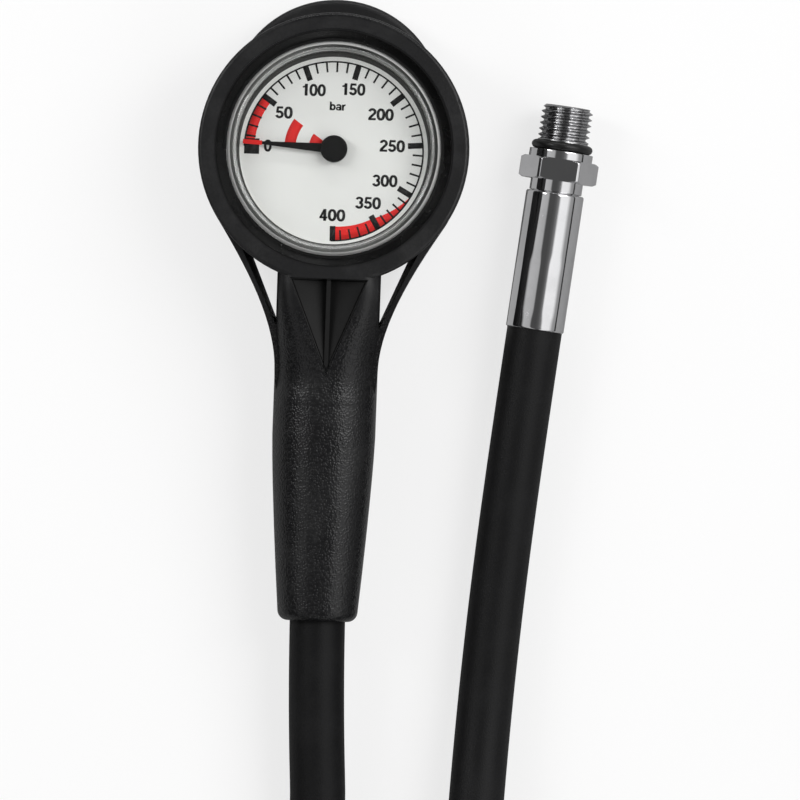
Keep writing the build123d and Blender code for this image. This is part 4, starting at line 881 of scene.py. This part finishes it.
# Painted reflection: the pale skin on the lens bevel.
painted_reflection_edge = ring_piece("lens_painted_reflection_edge", painted_reflection_edge_profile(), "gauge_head", "lens_clear", 256)
paint(painted_reflection_edge, "lens_painted_reflection")
print("lens faces:", len(lens.data.polygons))

# %% [markdown]
# ## The tank end
#
# The fitting is turned from hexagon bar: a collar, the hexagon with its corners turned down, a seat
# for the O-ring and a cut thread. All of it is one surface whose radius depends on the height along
# the axis and the angle round it. The hexagon's radius is the distance to a flat. The thread's
# radius falls from crest to root with the height, shifted by one pitch for each turn.

# %% Turn the fitting
TANK_PLACE = {"origin": (44.8, -37.4, 7.5), "axis": TANK_AXIS, "side": (0.0, 0.0, 1.0)}
TAIL, TAIL_R, SHOULDER_R = (27.0, 30.04), 2.9, 5.1
COLLAR, COLLAR_R = (30.14, 32.6), 5.7
HEX, FLATS = (32.6, 37.4), 15.0
SEAT_END, SEAT_R, NECK_R = 39.1, 6.9, 4.5
THREAD_START, THREAD_END, THREAD_END_R = 41.1, 48.9, 4.7
THREAD_R, THREAD_PITCH, THREAD_DEPTH = 5.55, 1.27, 0.74
PORT_R, PORT_DEEP, NEAR_AXIS = 1.35, 44.0, 0.01
ANGLES = np.linspace(0, 2 * pi, 360, endpoint=False)


def hexagon_radius(angles, along):
    """Distance to the nearest flat, cut off near both ends by a cone that takes the corners."""
    corner = FLATS / sqrt(3)
    wrapped = (angles + pi / 6) % (pi / 3) - pi / 6
    flat = np.minimum(FLATS / 2 / np.cos(wrapped), corner - 0.18)
    end = np.minimum(along - HEX[0], HEX[1] - along)[:, None]
    cone = corner - 0.9 + end / tan(radians(30))
    return np.minimum(flat[None, :], cone)


def thread_radius(angles, along):
    """A crest every pitch, on a line that climbs one pitch a turn, fading out at both ends."""
    phase = (along[:, None] / THREAD_PITCH - angles[None, :] / (2 * pi)) % 1.0
    fall = np.clip((np.abs(2 * phase - 1) - 0.12) / 0.62, 0, 1)
    fade = np.clip((along - THREAD_START) / 0.6, 0, 1)[:, None]
    chamfer = THREAD_R - np.clip(along - (THREAD_END - 0.75), 0, None)[:, None]
    return np.minimum(THREAD_R - THREAD_DEPTH * fall * fade, chamfer)


def fitting_surface():
    """Grids of radii and heights, from the tail in the hose to the port in the thread's end."""
    heights, radii = [], []

    def rows(along, radius):
        heights.append(np.repeat(along[:, None], len(ANGLES), 1))
        radii.append(np.broadcast_to(radius, heights[-1].shape))

    def plain_rows(*line):
        along, radius = np.array(line).T
        rows(along, radius[:, None])

    plain_rows(
        (TAIL[0], NEAR_AXIS), (TAIL[0], TAIL_R), (TAIL[1], TAIL_R), (TAIL[1], SHOULDER_R),
        (COLLAR[0], SHOULDER_R), (COLLAR[0], COLLAR_R - 0.2), (COLLAR[0] + 0.06, COLLAR_R - 0.06),
        (COLLAR[0] + 0.2, COLLAR_R), (COLLAR[0] + 0.3, COLLAR_R), (COLLAR[1], COLLAR_R),
    )
    ease = 0.6 * np.linspace(0, 1, 9) ** 1.5
    across = np.concatenate([HEX[0] + ease, np.linspace(HEX[0] + 0.8, HEX[1] - 0.8, 4),
                             (HEX[1] - ease)[::-1]])
    rows(across, hexagon_radius(ANGLES, across))
    plain_rows(
        (HEX[1], SEAT_R), (HEX[1] + 0.1, SEAT_R), (SEAT_END - 0.3, SEAT_R),
        (SEAT_END - 0.15, SEAT_R), (SEAT_END - 0.04, SEAT_R - 0.04), (SEAT_END, SEAT_R - 0.15),
        (SEAT_END, NECK_R), (THREAD_START - 0.02, NECK_R),
    )
    climb = np.linspace(THREAD_START, THREAD_END, 130)
    rows(climb, thread_radius(ANGLES, climb))
    plain_rows(
        (THREAD_END, THREAD_END_R), (THREAD_END, PORT_R + 0.15), (THREAD_END - 0.08, PORT_R + 0.03),
        (PORT_DEEP, PORT_R), (PORT_DEEP, NEAR_AXIS),
    )
    return np.concatenate(radii), np.concatenate(heights)


radii, heights = fitting_surface()
fitting = to_mesh(
    "tank_fitting_cut", turned(radii, heights, ANGLES, **TANK_PLACE),
    grid_faces(len(radii), len(ANGLES)), "hose", sharp=28.0,
)
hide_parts("tank_fitting")
paint(fitting, "tank_chrome")
print("fitting faces:", len(fitting.data.polygons))

# %% [markdown]
# ## Sleeve and O-ring
#
# The sleeve was a plain tube until eight jaws pressed its lower part onto the hose. That leaves
# eight shallow flats, which is what breaks up the reflections there. The O-ring is a fat torus,
# squeezed a little against its seat.

# %% Crimped sleeve and thread seal
SLEEVE_R, SLEEVE_BORE, SLEEVE_L = 6.3, 5.2, 30.0
CRIMP_FLATS, CRIMP_DEPTH = 8, 0.07
CRIMP_FROM, CRIMP_TO, CRIMP_EASE = 1.6, 17.0, 3
SEAL_MIDDLE, SEAL_HALF = (5.5, 40.1), (1.15, 1.0)  # radius and height


def sleeve_surface():
    """A tube's profile, whose outer side is pressed in between the jaw marks."""
    profile = np.concatenate([
        [(SLEEVE_BORE, 0.0), (5.85, 0.0), (6.05, 0.05), (6.2, 0.17), (6.28, 0.32), (SLEEVE_R, 0.5)],
        np.column_stack([np.full(60, SLEEVE_R), np.linspace(0.8, SLEEVE_L - 0.8, 60)]),
        [(SLEEVE_R, 29.5), (6.28, 29.7), (6.2, 29.85), (6.08, 29.96), (5.95, 30.0),
         (3.05, 30.0), (3.05, 28.8), (SLEEVE_BORE, 28.8)],
    ])
    radii, heights = swept(profile, len(ANGLES))
    pressed = np.clip((heights - CRIMP_FROM) / CRIMP_EASE, 0, 1)
    pressed = pressed * np.clip((CRIMP_TO - heights) / CRIMP_EASE, 0, 1)
    pressed = pressed * pressed * (3 - 2 * pressed) * (radii > SLEEVE_R - 0.01)
    jaw = 0.5 - 0.5 * np.cos(CRIMP_FLATS * ANGLES)[None, :]
    return radii - CRIMP_DEPTH * pressed * jaw ** 1.5, heights


radii, heights = sleeve_surface()
sleeve = to_mesh(
    "tank_sleeve_crimped", turned(radii, heights, ANGLES, **TANK_PLACE),
    grid_faces(len(radii), len(ANGLES), wrap_rows=True), "hose", sharp=50.0,
)
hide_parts("tank_ferrule")
paint(sleeve, "tank_chrome")

turn = np.linspace(0, 2 * pi, 28, endpoint=False)
section = np.column_stack([np.cos(turn), np.sin(turn)]) * SEAL_HALF + SEAL_MIDDLE
seal = ring_piece("thread_seal", section, "hose", "seal_rubber", 128, **TANK_PLACE)
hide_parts("thread_oring")
paint(seal, "seal_rubber")
print("sleeve faces:", len(sleeve.data.polygons))

# %% [markdown]
# ## Studio
#
# A white table, a soft sky and a few softboxes. The level is set so that a colour renders about as
# it is written. Chrome needs something dark to reflect as well as something light, or it looks like
# grey paint, so the sky is dim straight above, where the camera stands, and low on both sides. A
# small white card between gauge and fitting keeps the boot out of the chrome's left side.

# %% Floor, card and softboxes
TABLE_HALF = 4.0
TABLE_SHADE, TABLE_MIRRORED, TABLE_LIFT = (0.93,) * 3, (0.42,) * 3, 0.72
AIM = np.array([0.0, -0.04, 0.0])


def add_plane(name, corners, finish):
    """A flat sheet between four corners in metres, as a piece of the stage."""
    mesh = bpy.data.meshes.new(name)
    mesh.from_pydata(corners, [], [(0, 1, 2, 3)])
    plane = add_object(name, mesh)
    paint(plane, finish)
    return plane


def add_floor():
    """A pale table. The camera sees it lifted towards white, and reflections see it greyer."""
    tree, shader, _ = start_material("floor_paper", TABLE_SHADE, 0.9)
    ray = add_node(tree, "LightPath").outputs
    shade = blend_colours(tree, ray["Is Glossy Ray"], TABLE_SHADE, TABLE_MIRRORED)
    tree.links.new(shade, shader.inputs["Base Color"])
    white = add_node(tree, "Emission", {"Strength": 1.0})
    both = add_node(tree, "MixShader", {
        0: calc(tree, "MULTIPLY", ray["Is Camera Ray"], TABLE_LIFT),
        1: shader.outputs["BSDF"], 2: white.outputs["Emission"],
    })
    show(tree, both.outputs[0])
    corners = [(x * TABLE_HALF, y * TABLE_HALF, 0) for x, y in ((-1, -1), (1, -1), (1, 1), (-1, 1))]
    add_plane("floor", corners, "floor_paper").location.z = -0.2 * MM


def add_softbox(name, place, width, height, watts):
    """A rectangle of light, turned to face the gauge."""
    data = bpy.data.lights.new(name, "AREA")
    data.shape = "RECTANGLE"
    data.size, data.size_y = width, height
    data.energy = watts
    light = add_object(name, data)
    light.location = place
    x, y, z = AIM - place
    light.rotation_euler = (atan2(np.hypot(x, y), -z), 0, atan2(y, x) - pi / 2)


def add_card(name, foot, width, height, level):
    """A white card that stands on the table, facing right, and shows in reflections alone."""
    tree, _, _ = start_material(name, (0, 0, 0), 1.0)
    show(tree, add_node(tree, "Emission", {"Strength": level}).outputs["Emission"])
    left, right = foot[1] - width / 2, foot[1] + width / 2
    sides = (left, 0.0), (right, 0.0), (right, height), (left, height)
    card = add_plane(name, [(foot[0], y, z) for y, z in sides], name)
    card.visible_camera = card.visible_diffuse = card.visible_shadow = False
    card.visible_transmission = False


# %% The sky, and all lights on
SKY_PEAK = 1.5
SKY = [  # degrees from straight up, and brightness
    (-180, 0.1), (-92, 0.03), (-58, 0.03), (-50, 0.70), (-24, 0.60), (-18, 0.10), (0, 0.10),
    (10, 0.14), (20, 0.30), (27, 1.38), (56, 1.30), (70, 0.48), (82, 0.42), (84.5, 0.03),
    (90, 0.03), (180, 0.1),
]


def make_sky():
    """Brightness by the angle from straight up: to the left below zero, to the right above it."""
    world = bpy.data.worlds.new("studio")
    bpy.context.scene.world = world
    world.use_nodes = True
    tree = world.node_tree
    background = tree.nodes["Background"]
    where = add_node(tree, "TexCoord")
    parts = add_node(tree, "SeparateXYZ", {"Vector": where.outputs["Generated"]})
    turn = calc(tree, "ARCTAN2", parts.outputs["X"], parts.outputs["Z"])
    share = calc(tree, "MULTIPLY_ADD", turn, 0.5 / pi, 0.5)
    walls = add_node(tree, "ValToRGB", {"Fac": share})
    stops = walls.color_ramp.elements
    stops.remove(stops[1])
    for number, (angle, level) in enumerate(SKY):
        stop = stops[0] if number == 0 else stops.new(angle / 360 + 0.5)
        stop.position = angle / 360 + 0.5
        stop.color = (*[level / SKY_PEAK] * 3, 1.0)
    ray = add_node(tree, "LightPath")
    white = (1 / SKY_PEAK,) * 3
    seen = blend_colours(tree, ray.outputs["Is Camera Ray"], walls.outputs["Color"], white)
    tree.links.new(seen, background.inputs["Color"])
    background.inputs["Strength"].default_value = SKY_PEAK


add_floor()
make_sky()
add_softbox("softbox_right", (0.75, 0.35, 1.0), 0.4, 0.9, 5.5)
add_softbox("softbox_left", (-0.9, 0.4, 0.75), 0.25, 0.8, 5.0)
add_softbox("softbox_back", (0.0, 1.1, 0.5), 1.0, 0.12, 2.5)
add_card("card_left", (0.034, -0.0165), 0.045, 0.0102, 0.52)
bpy.context.scene.view_settings.view_transform = "Standard"
print("lights:", ", ".join(light.name for light in bpy.data.lights))
